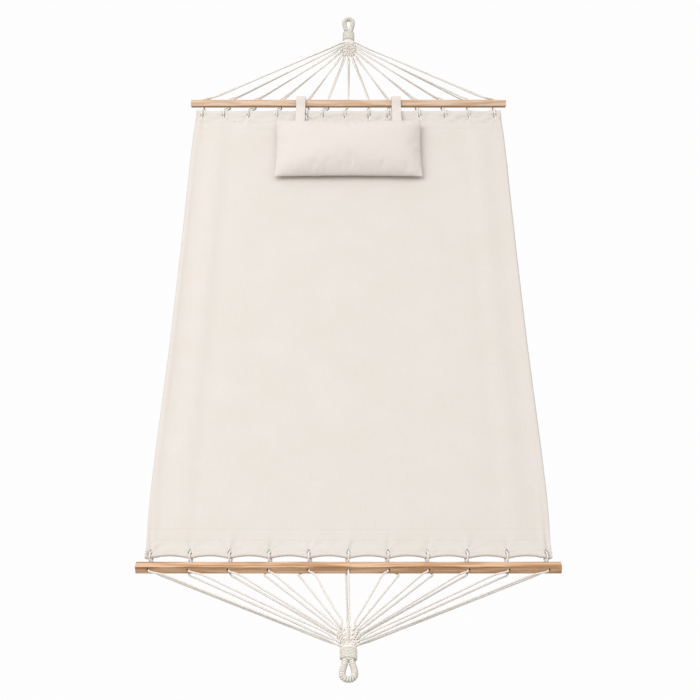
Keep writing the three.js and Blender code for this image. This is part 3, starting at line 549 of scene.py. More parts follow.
def smooth_line(stations, spacing):
    """A smooth line through stations: centripetal Catmull-Rom, which doesn't overshoot at tight turns."""
    points = np.asarray(stations, float)
    points = np.vstack([2 * points[0] - points[1], points, 2 * points[-1] - points[-2]])
    knots = np.concatenate([[0], np.cumsum(np.sqrt(np.linalg.norm(np.diff(points, axis=0), axis=1)))])
    share = np.linspace(0, 1, CURVE_STEPS, endpoint=False)[:, None]
    pieces = []
    for i in range(1, len(points) - 2):
        t = knots[i] + share * (knots[i + 1] - knots[i])
        blends = list(points[i - 1:i + 3])
        for level, starts in ((1, (i - 1, i, i + 1)), (2, (i - 1, i)), (1, (i,))):
            blends = [(p * (knots[k + level] - t) + q * (t - knots[k])) / (knots[k + level] - knots[k])
                      for k, p, q in zip(starts, blends, blends[1:])]
        pieces.append(blends[0])
    return evened(np.vstack([*pieces, points[-2:-1]]), spacing)


# %% Rope helpers
ROPE_LAY = 19.0  # mm for one full twist
ROPE_RING = 2.4  # mm between rings
LOBES = np.tile([ROPE_GROOVE, 1.0, 1.0], 3)
TIGHT_LOBES = np.tile([0.9, 1.0, 1.0], 3)


def rope(line, radius, lay=ROPE_LAY, lobes=LOBES):
    """Points, faces and lay of a twisted rope along a line, in the line's own unit of millimetres."""
    ahead = unit(np.gradient(line, axis=0))
    side = np.cross(ahead[0], (0.0, 0.0, 1.0) if abs(ahead[0][2]) < 0.7 else (0.0, 1.0, 0.0))
    sides = []
    for direction in ahead:
        side = unit(side - direction * (side @ direction))
        sides.append(side)
    sides = np.array(sides)[:, None]
    ups = np.cross(ahead[:, None], sides)
    along = lengths_along(line)[:, None]
    strand = np.arange(len(lobes)) * 2 * np.pi / len(lobes)
    turn = (strand + 2 * np.pi * along / lay)[..., None]
    reach = lobes[None, :, None] * np.broadcast_to(radius, len(line))[:, None, None]
    points = line[:, None] + reach * (np.cos(turn) * sides + np.sin(turn) * ups)
    straight = CORD_RADIUS * lobes
    on_rope = xyz(straight * np.cos(strand), straight * np.sin(strand), along) * MM
    return points.reshape(-1, 3), skin_faces(len(line), len(lobes)), on_rope.reshape(-1, 3)


def add_rope(name, end, to_metres, line, radius, body, stands_for, material=cotton_cord, **twist):
    """A piece of rope along a line in millimetres, which to_metres takes into the row's frame."""
    points, faces, lay = rope(line, radius, **twist)
    return add_piece(name, to_metres(end, points), faces, material, body, stands_for, lay)


print("a 1 m rope has", round(1000 / ROPE_RING) * len(LOBES), "faces")

# %% [markdown]
# ## The route of a cord
# One length of cord makes both strands of each pair in the fan. It comes out of its hole in the bar, passes
# over the hem rope inside the cloth's casing, drops through a slit and comes back under the hem and under
# the bar. The cloth has shifted a little on the head's rope, so the slits there don't lie straight behind
# the holes.

# %% Loop stations
HEM_ROPE_AXIS = {"head": 46.5, "foot": 34.3}  # from the bar's axis
# Where a slit starts and ends behind the hem rope, and where the cord goes down through it
SLIT_REACH = {"head": (13.0, 46.0), "foot": (4.0, 29.0)}
CORD_DROP = {"head": 27.0, "foot": 15.0}
# How far each slit lies from its hole, across
SLIT_SHIFT = {
    "head": np.array([4, -14, -20, -10, 0, -18, -14, -5, -8, 7, 7, -3, -5.0]),
    "foot": np.zeros(11),
}
SLITS = {end: HOLES[end] + SLIT_SHIFT[end] for end in FACING}
LOOP_RADIUS = 9.4
LOOP_SPLAY = 6.8  # the strand under the hem lies this much nearer the middle
HEM_TURN = 4.8
UNDER_BAR = 17.0
# How far each strand under a bar has slipped along it, since only the pull of the fan holds it
UNDER_SLIP = {
    "head": np.array([0, 8, 8, 8, 5, 0, 0, 0, -5, -8, -8, -14, 0.0]),
    "foot": np.array([36, 3, 7, -12, -30, -8, 31, 12, -6, -4, -36.0]),
}
HOLE_LEAN = 2.2  # the strand in a hole lies against the side nearer the middle


def loop_stations(end, x, slip, shift):
    """Stations of one cord: through its hole, round the hem rope and back under the bar."""
    def round_hem(degrees, aside):
        turn = math.radians(degrees)
        y, z = LOOP_RADIUS * math.cos(turn), LOOP_RADIUS * math.sin(turn)
        return hem_x + aside, y - HEM_ROPE_AXIS[end], z

    hem_x = x + shift
    drop = -HEM_ROPE_AXIS[end] - CORD_DROP[end]
    half = BAR_SIDE / 2
    inner = -math.copysign(LOOP_SPLAY, x)
    leant = x - math.copysign(HOLE_LEAN, x) if abs(x) > 1 else x
    through = tilted([(leant, half + 4, 0), (leant, half - 2, 0), (x, 0, 0), (x, -half - 2.5, 0)], ROLL[end])
    under = tilted([(x + inner, -half - 2, -UNDER_BAR), (x + slip / 2, 0, -UNDER_BAR),
                    (x + slip, half + 2, -UNDER_BAR)], ROLL[end])
    hem = [
        round_hem(48, 0), round_hem(90, 0),
        (hem_x, drop + CORD_RADIUS, LOOP_RADIUS - 3.0),
        (hem_x + inner / 4, drop, 3.0), (hem_x + inner / 4, drop, -4.0),
        (hem_x + inner / 2, drop + CORD_RADIUS, -LOOP_RADIUS),
        round_hem(-90, inner), round_hem(-45, inner),
    ]
    return [*through, *hem, *under]


print("a loop has", len(loop_stations("head", 0, 0, 0)), "stations")

# %% [markdown]
# ## The clew's weave
# Near the eye all cords are woven together. The two strands of a cord swap places, upper and lower, after
# each row, and a weft cord passes between them. The outermost cords leave the weave next to the whipping
# and the middle ones at its bar end, so the woven patch spreads and then narrows.

# %% Weave layout
WEAVE_RIM = np.array([(0, 221), (24, 229), (34, 262), (26, 300)])  # half its outline: x, y in the fan
ROW_PITCH = 8.8
WEAVE_ROWS = 232 + ROW_PITCH * np.arange(8)
WEAVE_LIFT = 4.1  # of a strand over the weft's middle at the sides
WEAVE_CROWN = 2.4  # how much more it is in the middle
WEAVE_SWING = 2.6  # of a strand to the side, where two swap
WOVEN_RADIUS = 2.8
STRAND_LIFT = 3.3
NECK_START = 298.3
NECK_END = 346.3
NECK_HALF_WIDTH = 20.0
NECK_HALF_HEIGHT = 9.5
STRAND_IN_NECK = (12.0, 4.0)  # how far inside the neck a strand's first stations lie
NECK_STRAND_LIFT = 4.6


def rim_point(share):
    """A point on the weave's rim: share 0 is the middle of its bar end and 1 is next to the neck."""
    along = lengths_along(WEAVE_RIM)
    reach = abs(share) * (along[-1] - 2 * CORD_RADIUS)
    x, y = read_off([reach], along, WEAVE_RIM)[0]
    return math.copysign(x, share), y


def woven_x(order, y, count):
    """Where cord number order, counted from the middle, lies across the weave at y."""
    leaves = [rim_point(k / count)[1] for k in range(count + 1)]
    outermost = np.interp(y, leaves + [WEAVE_RIM[-1][1]], [*range(count + 1), count * 1.05])
    half_width = np.interp(y, WEAVE_RIM[:, 1], WEAVE_RIM[:, 0])
    return half_width * order / max(outermost, 1e-6)


def row_phase(y):
    """Half a turn for each row of the weave."""
    return math.pi * (y - WEAVE_ROWS[0]) / ROW_PITCH


def woven_strand(order, upper, count, leave):
    """Stations of one strand from inside the neck to where it leaves at the rim, in the fan's plane."""
    sign = (1 if upper else -1) * (1 if math.cos(row_phase(leave)) >= 0 else -1)
    crowded = order / count * (NECK_HALF_WIDTH - WOVEN_RADIUS - 1)
    room = (NECK_HALF_HEIGHT - WOVEN_RADIUS) * math.sqrt(max(0, 1 - (crowded / (NECK_HALF_WIDTH - 1)) ** 2))
    height = math.copysign(min(NECK_STRAND_LIFT, room), sign * math.cos(row_phase(NECK_START)))
    lift = WEAVE_LIFT + WEAVE_CROWN * (1 - (order / count) ** 2)
    stations = [(crowded, NECK_START + deep, height) for deep in STRAND_IN_NECK]
    for y in np.arange(WEAVE_ROWS[-1] + ROW_PITCH / 4, leave + 3, -ROW_PITCH / 4):
        x = woven_x(order, y, count) + sign * WEAVE_SWING * math.sin(row_phase(y))
        stations.append((x, y, sign * lift * math.cos(row_phase(y))))
    return stations


print("cords leave a head weave at", [round(rim_point(k / 6)[1]) for k in range(7)])

# %% Cords
STRAIGHT_SHARES = (0.06, 0.3, 0.7, 0.94)
# How far towards the middle a stiff strand swings as it leaves its hole, before it turns to the clew
EXIT_BOW = {
    "head": np.array([26, 10, 8, 2, 0, 4, 0, -4, 0, -2, -8, -4, -26.0]),
    "foot": np.array([17, 16, 13, 4, 11, 0, -9, -5, -9, -16, -17.0]),
}
BLEND_START = 22.0
BLEND_END = 46.0
# How far apart a cord's two strands leave the weave, as a share of the way to the next cord
STRAND_SPREAD = {
    "head": np.array([0.08, 0.34, 0.4, 0.36, 0.34, 0.28, 0.26, 0.28, 0.36, 0.38, 0.34, 0.4, 0.1]),
    "foot": np.array([0.04, 0.26, 0.05, 0.2, 0.26, 0.14, 0.24, 0.16, 0.05, 0.24, 0.06]),
}
SQUEEZE_START = 213.0  # along the fan, and over how long a stretch the weave takes hold of a cord
SQUEEZE_LENGTH = 12.0


def cord_line(end, loop, bow, order, count, spread):
    """One cord from the neck, through the weave and fan, round its loop and back, in the end's frame."""
    side = -1 if order < 0 else 1
    halves = []
    for upper, target in ((1, loop[0] + (bow, 0, 0)), (-1, loop[-1])):
        x, y = rim_point((order - side * upper * spread) / count)
        woven = tilted(woven_strand(order, upper > 0, count, y), FAN_RISE)
        tip = tilted((x, y, upper * STRAND_LIFT), FAN_RISE)
        straight = [tip + (target - tip) * share for share in STRAIGHT_SHARES]
        halves.append([*woven, *straight])
    return smooth_line([*halves[0], *loop, *reversed(halves[1])], ROPE_RING)


def squeezed(line):
    """The cord's radius along its line: less where the weave presses it."""
    share = np.clip((tilted(line, -FAN_RISE)[:, 1] - SQUEEZE_START) / SQUEEZE_LENGTH, 0, 1)
    return CORD_RADIUS + (WOVEN_RADIUS - CORD_RADIUS) * share


def cords(end):
    """All cords of one end."""
    facing = FACING[end]
    count = len(HOLES[end]) // 2
    length = 0
    for i, spread in enumerate(STRAND_SPREAD[end]):
        x, slip, shift, bow = (facing * table[end][i] for table in (HOLES, UNDER_SLIP, SLIT_SHIFT, EXIT_BOW))
        line = cord_line(end, loop_stations(end, x, slip, shift), bow, facing * (i - count), count, spread)
        length += len(line) * ROPE_RING
        number = f"{i + 1:02d}"
        name = f"{end}_rope_{number}"
        if end == "head":
            add_rope(name, end, place, line, squeezed(line), "sling", [f"head_cord_{number}"])
        else:
            piece = add_rope(name, end, place, line, squeezed(line), None,
                             [f"foot_tie_{number}", f"foot_cord_{number}"])
            start, stop = in_fan(end, [(0, BLEND_START, 0), (0, BLEND_END, 0)])
            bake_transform(piece)
    print(end, "cords", len(HOLES[end]), "of about", round(length / len(HOLES[end])), "mm each")


for end in FACING:
    cords(end)

# %% Weft, neck and whipping
WEFT_RADIUS = 2.5
WEFT_STATIONS = 7
WHIPPING_RADIUS = 2.6
WHIPPING_TURNS = 7
WHIPPING_MARGIN = 6.0  # of the neck shows at the weave
WHIPPING_STEPS = 40
WHIPPING_TUCK = (0, 0, 5.0)
BUNDLE_FLUTES = 20
FLUTE_DEPTH = 0.13
BUNDLE_SIDES = 80
# Place along the fan, half width and half height
BUNDLE_RINGS = np.array([
    (230, 12, 0.8), (233, 19, 2.0), (262, 29, 2.8), (290, 24, 3.4), (298, 19, 6.5), (303, 19.7, 9.2),
    (308, 20, 9.5), (338, 20, 9.5), (343, 19.4, 9.2), (345, 16, 7.6), (346.3, 10, 4.8)])


def weft(end):
    """One cord that goes to and fro across the weave, a row at a time."""
    stations = []
    for i, y in enumerate(WEAVE_ROWS):
        reach = np.interp(y, WEAVE_RIM[:, 1], WEAVE_RIM[:, 0]) + 0.5
        across = np.linspace(-reach, reach, WEFT_STATIONS)
        stations += [(x, y, 0.0) for x in (across if i % 2 else across[::-1])]
    add_rope(f"{end}_weft", end, in_fan, smooth_line(stations, ROPE_RING), WEFT_RADIUS, CLEW_BODY[end],
             [f"{end}_weave"])


def bundle(end):
    """The strands pressed together: flat inside the weave, then a fluted oval in the neck."""
    turn = np.arange(BUNDLE_SIDES) * 2 * np.pi / BUNDLE_SIDES
    flute = 1 - FLUTE_DEPTH * (1 - np.abs(np.cos(BUNDLE_FLUTES * turn / 2)))
    y, half_width, half_height = BUNDLE_RINGS.T[..., None]
    points = xyz(half_width * flute * np.cos(turn), y, half_height * flute * -np.sin(turn)).reshape(-1, 3)
    add_piece(f"{end}_bundle", in_fan(end, points), skin_faces(len(BUNDLE_RINGS), BUNDLE_SIDES),
              whipping_twine, CLEW_BODY[end], [f"{end}_neck"], points * MM)


def whipping(end):
    """Cord wound tight round the neck, with both ends tucked in."""
    steps = WHIPPING_TURNS * WHIPPING_STEPS + 1
    turn = np.arange(steps) * 2 * np.pi / WHIPPING_STEPS - np.pi / 2
    first, last = NECK_START + WHIPPING_MARGIN + WHIPPING_RADIUS, NECK_END - WHIPPING_RADIUS
    line = xyz((NECK_HALF_WIDTH + WHIPPING_RADIUS) * np.cos(turn), np.linspace(first, last, steps),
               (NECK_HALF_HEIGHT + WHIPPING_RADIUS) * np.sin(turn))
    line = evened(np.vstack([line[0] + WHIPPING_TUCK, line, line[-1] + WHIPPING_TUCK]), ROPE_RING)
    add_rope(f"{end}_whipping_cord", end, in_fan, line, WHIPPING_RADIUS, CLEW_BODY[end], [f"{end}_whipping"],
             whipping_twine, lobes=TIGHT_LOBES)


for end in FACING:
    weft(end)
    bundle(end)
    whipping(end)
print("weave, neck and whipping at both ends")

# %% [markdown]
# ## The rope eyes
# Past the whipping the bundle bends back into a loop that a hook can hold. Cord is served round it, turn
# beside turn, to save it from wear. The serving is first laid out round a straight core. A second function
# then bends that core along the eye's line, so each turn spreads on the outside of the bend and crowds on
# the inside.

# %% Eye line
EYE_START = 346.6
EYE_STRAIGHT = 6.0
EYE_HALF_LEGS = 10.2
EYE_ARC = 17.6
EYE_TIP = 411.4
EYE_PARTING = 0.6
EYE_STEP = 0.5


def bezier(a, b, c, d, count=60):
    a, b, c, d = np.array([a, b, c, d], float)
    t = np.linspace(0, 1, count)[:, None]
    return a * (1 - t) ** 3 + 3 * b * t * (1 - t) ** 2 + 3 * c * t ** 2 * (1 - t) + d * t ** 3


def eye_line():
    """The middle of the eye: two legs that part and meet in a half circle, from the right leg to the left."""
    first = EYE_START + EYE_STRAIGHT
    arc_start = EYE_TIP - EYE_ARC
    rise = (arc_start - first) / 2
    quarter = EYE_ARC * 4 * (math.sqrt(2) - 1) / 3
    leg = bezier((EYE_HALF_LEGS, first), (EYE_HALF_LEGS, first + rise * EYE_PARTING),
                 (EYE_ARC, arc_start - rise), (EYE_ARC, arc_start))
    bend = bezier((EYE_ARC, arc_start), (EYE_ARC, arc_start + quarter), (quarter, EYE_TIP), (0, EYE_TIP))
    right = np.vstack([(EYE_HALF_LEGS, EYE_START), leg, bend[1:]])
    x, y = evened(np.vstack([right, right[-2::-1] * (-1, 1)]), EYE_STEP).T
    return xyz(x, y, 0)


eye = eye_line()
eye_length = EYE_STEP * (len(eye) - 1)
print("eye line", round(eye_length, 1), "mm")

# %% Serving and core
SERVING_CORD_RADIUS = 3.0
SERVING_RADIUS = 7.0
SERVING_PITCH = 6.3
SERVING_STEPS = 30
SERVING_RING = 2.0
CORE_RADIUS = 4.1
CORE_LAY = 60.0
CORE_RINGS = 90


def in_eye(end, points):
    """Points round a straight core, with x along it, bent along the eye's line, in the row's frame."""
    numbers = np.arange(len(eye))
    share = np.clip(points[:, 0] / eye_length, 0, 1) * numbers[-1]
    ahead = unit(read_off(share, numbers, np.gradient(eye, axis=0)))
    outwards = np.cross(ahead, (0.0, 0.0, 1.0))
    bent = read_off(share, numbers, eye) + outwards * points[:, 1:2] + points[:, 2:3] * (0, 0, 1)
    return in_fan(end, bent)


def served_eye(end):
    """The serving and the core of one eye. Gives the number of turns."""
    turns = round(eye_length / SERVING_PITCH) - 1
    steps = turns * SERVING_STEPS + 1
    turn = np.arange(steps) * 2 * np.pi / SERVING_STEPS
    winding = xyz(np.linspace(SERVING_CORD_RADIUS, eye_length - SERVING_CORD_RADIUS, steps),
                  SERVING_RADIUS * np.cos(turn), SERVING_RADIUS * np.sin(turn))
    add_rope(f"{end}_serving_cord", end, in_eye, evened(winding, SERVING_RING), SERVING_CORD_RADIUS,
             CLEW_BODY[end], [f"{end}_serving"], whipping_twine, lobes=TIGHT_LOBES)
    straight = xyz(np.linspace(0, eye_length, CORE_RINGS), 0, 0)
    add_rope(f"{end}_eye_core", end, in_eye, straight, CORE_RADIUS, CLEW_BODY[end], [f"{end}_eye"],
             lay=CORE_LAY)
    return turns


for end in FACING:
    print(end, "eye has", served_eye(end), "turns of serving")

# %% [markdown]
# ## Bed cloth
# The bed is one length of cotton duck. At each end it is folded back under itself round a hem rope, and two
# rows of stitches hold the fold. Slits let the cords reach the rope. The cloth is modelled as a single
# sheet that follows this fold, with columns that run through the slits at both ends, and is given its
# thickness at the end. Between two cords the hem lies back in an arch, and the cloth near it dips.

# %% Bed surface
HALF_CLOTH = 625.0
CLOTH_THICKNESS = 1.2
BAR_SPAN = 2086.0
CLOTH_END = {end: BAR_SPAN / 2 - axis for end, axis in HEM_ROPE_AXIS.items()}
PLY_SHIFT = 1.2
SAG = 45.0
SIDE_SAG_SHARE = 0.6
END_FOLD = 5.0
SIDE_FOLD = 3.0
SIDE_FOLD_PITCH = 120.0
SIDE_FOLD_MARGIN = 105.0
SIDE_FOLD_WIDTH = 205.0


def smooth_step(value, low, high):
    share = np.clip((value - low) / (high - low), 0, 1)
    return share * share * (3 - 2 * share)


def arch(x, slits):
    """0 at a cord and 1 halfway between two."""
    order = np.clip(np.searchsorted(slits, x, side="right") - 1, 0, len(slits) - 2)
    share = (x - slits[order]) / (slits[order + 1] - slits[order])
    return np.where((x < slits[0]) | (x > slits[-1]), 0.0, 4 * share * (1 - share))


def along_share(y):
    """How far along the bed a place is: 0 in its middle and 1 at either hem rope."""
    return np.clip(np.abs(y) / np.where(np.asarray(y) > 0, CLOTH_END["head"], CLOTH_END["foot"]), 0, 1)


def bed_height(x, y):
    """Height of the cloth's middle over the bars' axes, in millimetres from the bed's middle."""
    across = np.clip(np.abs(x) / HALF_CLOTH, 0, 1)
    along = along_share(y)
    sag = SAG * (SIDE_SAG_SHARE + (1 - SIDE_SAG_SHARE) * (1 - across ** 2)) * (1 - along ** 2)
    arches = np.where(y > 0, arch(x, SLITS["head"]), arch(x, SLITS["foot"]))
    end_fold = END_FOLD * arches * along ** 16 * (1 - along ** 40)
    inwards = HALF_CLOTH - np.abs(x)
    side = smooth_step(-inwards, -SIDE_FOLD_WIDTH, -SIDE_FOLD_MARGIN)
    wave = np.cos(2 * np.pi * (inwards - SIDE_FOLD_MARGIN) / SIDE_FOLD_PITCH)
    return PLY_SHIFT - sag - end_fold + SIDE_FOLD * side * wave * (1 - along ** 6)


print("bed sags", round(float(-bed_height(0.0, 0.0))), "mm in its middle")

# %% Columns and rows
SPAN_COLUMNS = 120  # columns between the outermost cords, a whole number for each span at both ends
COLUMN_EASE = 0.55
MARGIN_SHARES = np.array([0.25, 0.5, 0.75, 1.0])
SLIT_WIDTH = 12.0
SLIT_ROWS = 13
ROW_SPACING = 22.0
HEM_FOLD = 102.7  # from the hem rope's axis to the free edge of the fold
HEM_SEAM = 97.0
CASING_SEAM = {"head": 58.0, "foot": 52.0}
SEAM_STEP = 3.0
FREE_ROWS = (82, 70)  # between the two seams
NEAREST_ROW = 2.5
TURN_ROWS = 9


def columns(end):
    """Across places, closer together near each cord."""
    slits = SLITS[end]
    share = np.linspace(0, 1, SPAN_COLUMNS // (len(slits) - 1), endpoint=False)
    eased = share - COLUMN_EASE * np.sin(2 * np.pi * share) / (2 * np.pi)
    inner = (slits[:-1, None] + np.diff(slits)[:, None] * eased).ravel()
    left = slits[0] - MARGIN_SHARES[::-1] * (HALF_CLOTH + slits[0])
    right = slits[-1] + MARGIN_SHARES * (HALF_CLOTH - slits[-1])
    return np.concatenate([left, inner, [slits[-1]], right])


def hem_rows(end):
    """Rows of the folded hem, from its free edge underneath to the bed on top: (distance, ply or angle)."""
    near, far = SLIT_REACH[end]
    seam = CASING_SEAM[end]
    distances = [HEM_FOLD, HEM_SEAM + SEAM_STEP, HEM_SEAM, HEM_SEAM - SEAM_STEP, *FREE_ROWS]
    distances += [seam + 2 * SEAM_STEP, seam + SEAM_STEP, seam]
    distances += [*np.linspace(seam - SEAM_STEP, far, 4)[:-1], *np.linspace(far, near, SLIT_ROWS)]
    distances += [*np.linspace(near, NEAREST_ROW, 4)[1:]]
    below = [(distance, "under") for distance in distances]
    turn = [(angle, "turn") for angle in np.linspace(-90, 90, TURN_ROWS)]
    above = [(distance, "over") for distance in reversed(distances)]
    return [*below, *turn, *above]


print("columns", len(columns("head")), "and rows in a hem", len(hem_rows("head")))


# %% Folds, puckers and ripples
CORNER_FOLD = {"head": 1.8, "foot": 5.0}
CORNER_PITCH = 24.0
CORNER_START = 8.0
CORNER_WIDTH = 62.0
CORNER_REACH = 130.0
PUCKER = {"head": 2.4, "foot": 3.4}
PUCKER_REACH = 36.0
PUCKER_CREASES = 7
PUCKER_HEART = 9.0  # they fade out this close to the slit
PUCKER_STRETCH = 0.7
CASING_RIPPLE = {"head": 7.0, "foot": 4.0}
RIPPLE_SIZE = (13.0, 32.0)  # across and along
RIPPLE_START = 14.0  # grown to full size this far from the rope
RIPPLE_STOP = 8.0  # and dying down this far before the seam
PLY_SEED = {"over": 9.1, "under": 18.2}  # each ply ripples in its own way
WRINKLE = 0.9
WRINKLE_SIZE = (70.0, 600.0)
WRINKLE_SEED = 3.7


def smooth_noise(size, x, y, seed):
    """Blender's own noise at x and y, drawn to the size across and along."""
    points = xyz(x / size[0], y / size[1], seed)
    values = [noise.noise(Vector(point)) for point in points.reshape(-1, 3).tolist()]
    return np.array(values).reshape(points.shape[:-1])


def corner_folds(x, y, end):
    """Lengthwise folds where the side of the cloth is gathered at its outermost cord."""
    inwards = HALF_CLOTH - np.abs(x)
    near_side = 1 - smooth_step(inwards, CORNER_START, CORNER_WIDTH)
    near_hem = np.exp(-np.clip(CLOTH_END[end] - np.abs(y), 0, None) / CORNER_REACH)
    return CORNER_FOLD[end] * near_side * near_hem * np.cos(2 * np.pi * inwards / CORNER_PITCH)


def puckers(x, from_rope, end):
    """Short creases that run out from each slit."""
    total = np.zeros_like(x)
    for i, slit in enumerate(SLITS[end]):
        across, along = x - slit, from_rope - CORD_DROP[end]
        reach = np.hypot(across, along * PUCKER_STRETCH)
        ring = np.exp(-(reach / PUCKER_REACH) ** 2) * (1 - np.exp(-(reach / PUCKER_HEART) ** 2))
        own_turn = 1.7 * math.sin(4.1 * i)  # each slit's creases start elsewhere
        total += PUCKER[end] * ring * np.cos(PUCKER_CREASES * np.arctan2(along, across) + own_turn)
    return total


def casing_ripples(x, distance, ply, end):
    """Small gathers between the hem rope and the casing's seam."""
    seam = CASING_SEAM[end]
    share = smooth_step(distance, 0, RIPPLE_START) * (1 - smooth_step(distance, seam - RIPPLE_STOP, seam))
    return CASING_RIPPLE[end] * share * smooth_noise(RIPPLE_SIZE, x, distance, PLY_SEED[ply])


# %% Hem profile
SCALLOP = {"head": 5.5, "foot": 9.5}
HEM_TAPER = 40.0
SEAM_DIP = 0.9


def hem_points(end, x, rows):
    """The folded hem's rows, in millimetres from the bed's middle, for the head or the mirrored foot."""
    facing = FACING[end]
    back = SCALLOP[end] * arch(x, SLITS[end])
    made = []
    for distance, part in rows:
        if part == "turn":
            angle = math.radians(distance)
            behind = back - HEM_TURN * math.cos(angle)
            height = HEM_TURN * math.sin(angle)
        else:
            behind = distance + back * (1 - smooth_step(distance, HEM_TAPER, HEM_FOLD))
            taper = smooth_step(distance, 0, HEM_TAPER)
            middle = bed_height(x, facing * (CLOTH_END[end] - behind)) - PLY_SHIFT
            gap = HEM_TURN + (PLY_SHIFT - HEM_TURN) * taper + casing_ripples(x, distance, part, end)
            if distance in (CASING_SEAM[end], HEM_SEAM):
                gap -= SEAM_DIP
            height = middle * taper + (gap if part == "over" else -gap)
            height += puckers(x, distance, end) * taper ** 0.5
        made.append(xyz(x, facing * (CLOTH_END[end] - behind), height))
    return np.array(made)


# %% Bed cloth grid
across_places = {end: columns(end) for end in FACING}
rows = {end: hem_rows(end) for end in FACING}
hems = {end: hem_points(end, across_places[end], rows[end]) for end in FACING}
inside = {end: reach - HEM_FOLD for end, reach in CLOTH_END.items()}
bed_length = inside["head"] + inside["foot"]
bed_rows = np.linspace(inside["head"], -inside["foot"], round(bed_length / ROW_SPACING) + 1)[1:-1, None]
head_share = (bed_rows + inside["foot"]) / bed_length
across = across_places["foot"] + (across_places["head"] - across_places["foot"]) * head_share
grid = np.concatenate([hems["head"], xyz(across, bed_rows, bed_height(across, bed_rows)), hems["foot"][::-1]])
for end in FACING:
    here = (grid[..., 1] > 0) == (end == "head")
    grid[..., 2] += np.where(here, corner_folds(grid[..., 0], grid[..., 1], end), 0)
fade = 1 - along_share(grid[..., 1]) ** 8
grid[..., 2] += WRINKLE * smooth_noise(WRINKLE_SIZE, grid[..., 0], grid[..., 1], WRINKLE_SEED) * fade
print("bed grid", grid.shape)

# %% [markdown]
# The side hems are turned under and stitched. That leaves a band about 20 mm wide, a little thicker than
# the cloth, whose outer edge rolls down. The cords gather both ends a little, so the sides stand out
# between them.

# %% Side hems
SIDE_HEM = 20.0
SIDE_ROLL = 3.4
SIDE_ROLL_WIDTH = 12.0
SIDE_STEP = 0.9
SIDE_START = 10.0  # from the hem rope, and how far on they reach their full height
SIDE_BLEND = 60.0

inwards = HALF_CLOTH - np.abs(grid[..., 0])
from_hem = (1 - along_share(grid[..., 1])) * BAR_SPAN / 2
between_hems = np.clip((from_hem - SIDE_START) / SIDE_BLEND, 0, 1)
grid[..., 2] += between_hems * SIDE_STEP * (1 - smooth_step(inwards, SIDE_HEM - 3, SIDE_HEM))
grid[..., 2] -= between_hems * SIDE_ROLL * (1 - smooth_step(inwards, 0, SIDE_ROLL_WIDTH)) ** 2

# Place along the bed, and how far the side stands out there
SIDE_SPREAD = np.array([(-985, 0), (-930, 2.5), (-870, 6), (-790, 8.5), (-620, 9.5), (-450, 8), (-200, 5.5),
                        (300, 4.5), (700, 5), (870, 3), (940, 0)])


def spread_out(x, y):
    """Across places with the cloth's sides let out."""
    return x + np.sign(x) * np.interp(y, *SIDE_SPREAD.T) * (x / HALF_CLOTH) ** 2


grid[..., 0] = spread_out(grid[..., 0], grid[..., 1])
print("sides stand out", SIDE_SPREAD[:, 1].max(), "mm at most")

# %% [markdown]
# Each slit is a cut along one column. The points on it are doubled, one for each lip. The cord draws the
# lips apart at the end near the bar, and the rest of the cut narrows to a point.

# %% Slits and faces
NEIGHBOUR_SHARE = 0.4  # how much of a lip's way the next column goes along with it

row_total, column_total = grid.shape[:2]
left = np.arange(row_total * column_total).reshape(row_total, column_total)
right = left.copy()
doubled, lips = [], []
for end in FACING:
    near, far = SLIT_REACH[end]
    for slit in SLITS[end]:
        column = int(np.argmin(np.abs(across_places[end] - slit)))
        for i, (distance, part) in enumerate(rows[end]):
            if part == "turn" or not near + 0.1 < distance < far - 0.1:
                continue
            row = i if end == "head" else row_total - 1 - i
            half_open = SLIT_WIDTH / 2 * math.sin(math.pi * ((far - distance) / (far - near)) ** 1.5)
            lips.append(grid[row, column] + (half_open, 0, 0))
            grid[row, column, 0] -= half_open
            grid[row, column - 1, 0] -= half_open * NEIGHBOUR_SHARE
            grid[row, column + 1, 0] += half_open * NEIGHBOUR_SHARE
            right[row, column] = left.size + len(doubled)
            doubled.append(left[row, column])
quads = np.stack([right[:-1, :-1], right[1:, :-1], left[1:, 1:], left[:-1, 1:]], axis=-1)
print("slits", sum(len(slits) for slits in SLITS.values()), "through two plies each")

# %% Bed cloth
step_lengths = np.linalg.norm(np.diff(grid, axis=0), axis=2)
along_cloth = np.vstack([np.zeros(column_total), np.cumsum(step_lengths, axis=0)])
lay = xyz(grid[..., 0], along_cloth, 0).reshape(-1, 3) * MM
points = np.vstack([grid.reshape(-1, 3), lips])
cloth = add_piece("bed_canvas", BED_MIDDLE + points * MM, quads.reshape(-1, 4).tolist(), bed_canvas,
                  "sling", ["bed_cloth"], np.vstack([lay, lay[doubled]]))
thicken(cloth, CLOTH_THICKNESS)

# %% [markdown]
# ## Hem ropes
# A rope lies in each casing and spreads the pull of the cords. It shows only in the slits and at the sides.

# %% Hem ropes
HEM_ROPE_RADIUS = 3.2
HEM_ROPE_LAY = 28.0
HEM_ROPE_RING = 3.4
HEM_ROPE_END = 623.0
HEM_ROPE_STATIONS = 121

for end in FACING:
    stations = np.linspace(-HEM_ROPE_END, HEM_ROPE_END, HEM_ROPE_STATIONS)
    behind = HEM_ROPE_AXIS[end] + SCALLOP[end] * arch(stations, SLITS[end])
    add_rope(f"{end}_casing_rope", end, place, evened(xyz(stations, -behind, 0), HEM_ROPE_RING),
             HEM_ROPE_RADIUS, "sling", [f"{end}_hem_rope"], lay=HEM_ROPE_LAY)
print("hem ropes", round(2 * HEM_ROPE_END), "mm long")

# %% [markdown]
# ## Stitches
# Lock stitches of thick cotton thread hold the casings and the side hems. Each one is a small lozenge, 3 mm
# long, that sits in the cloth. They follow the same grid as the cloth, so they stay on it.

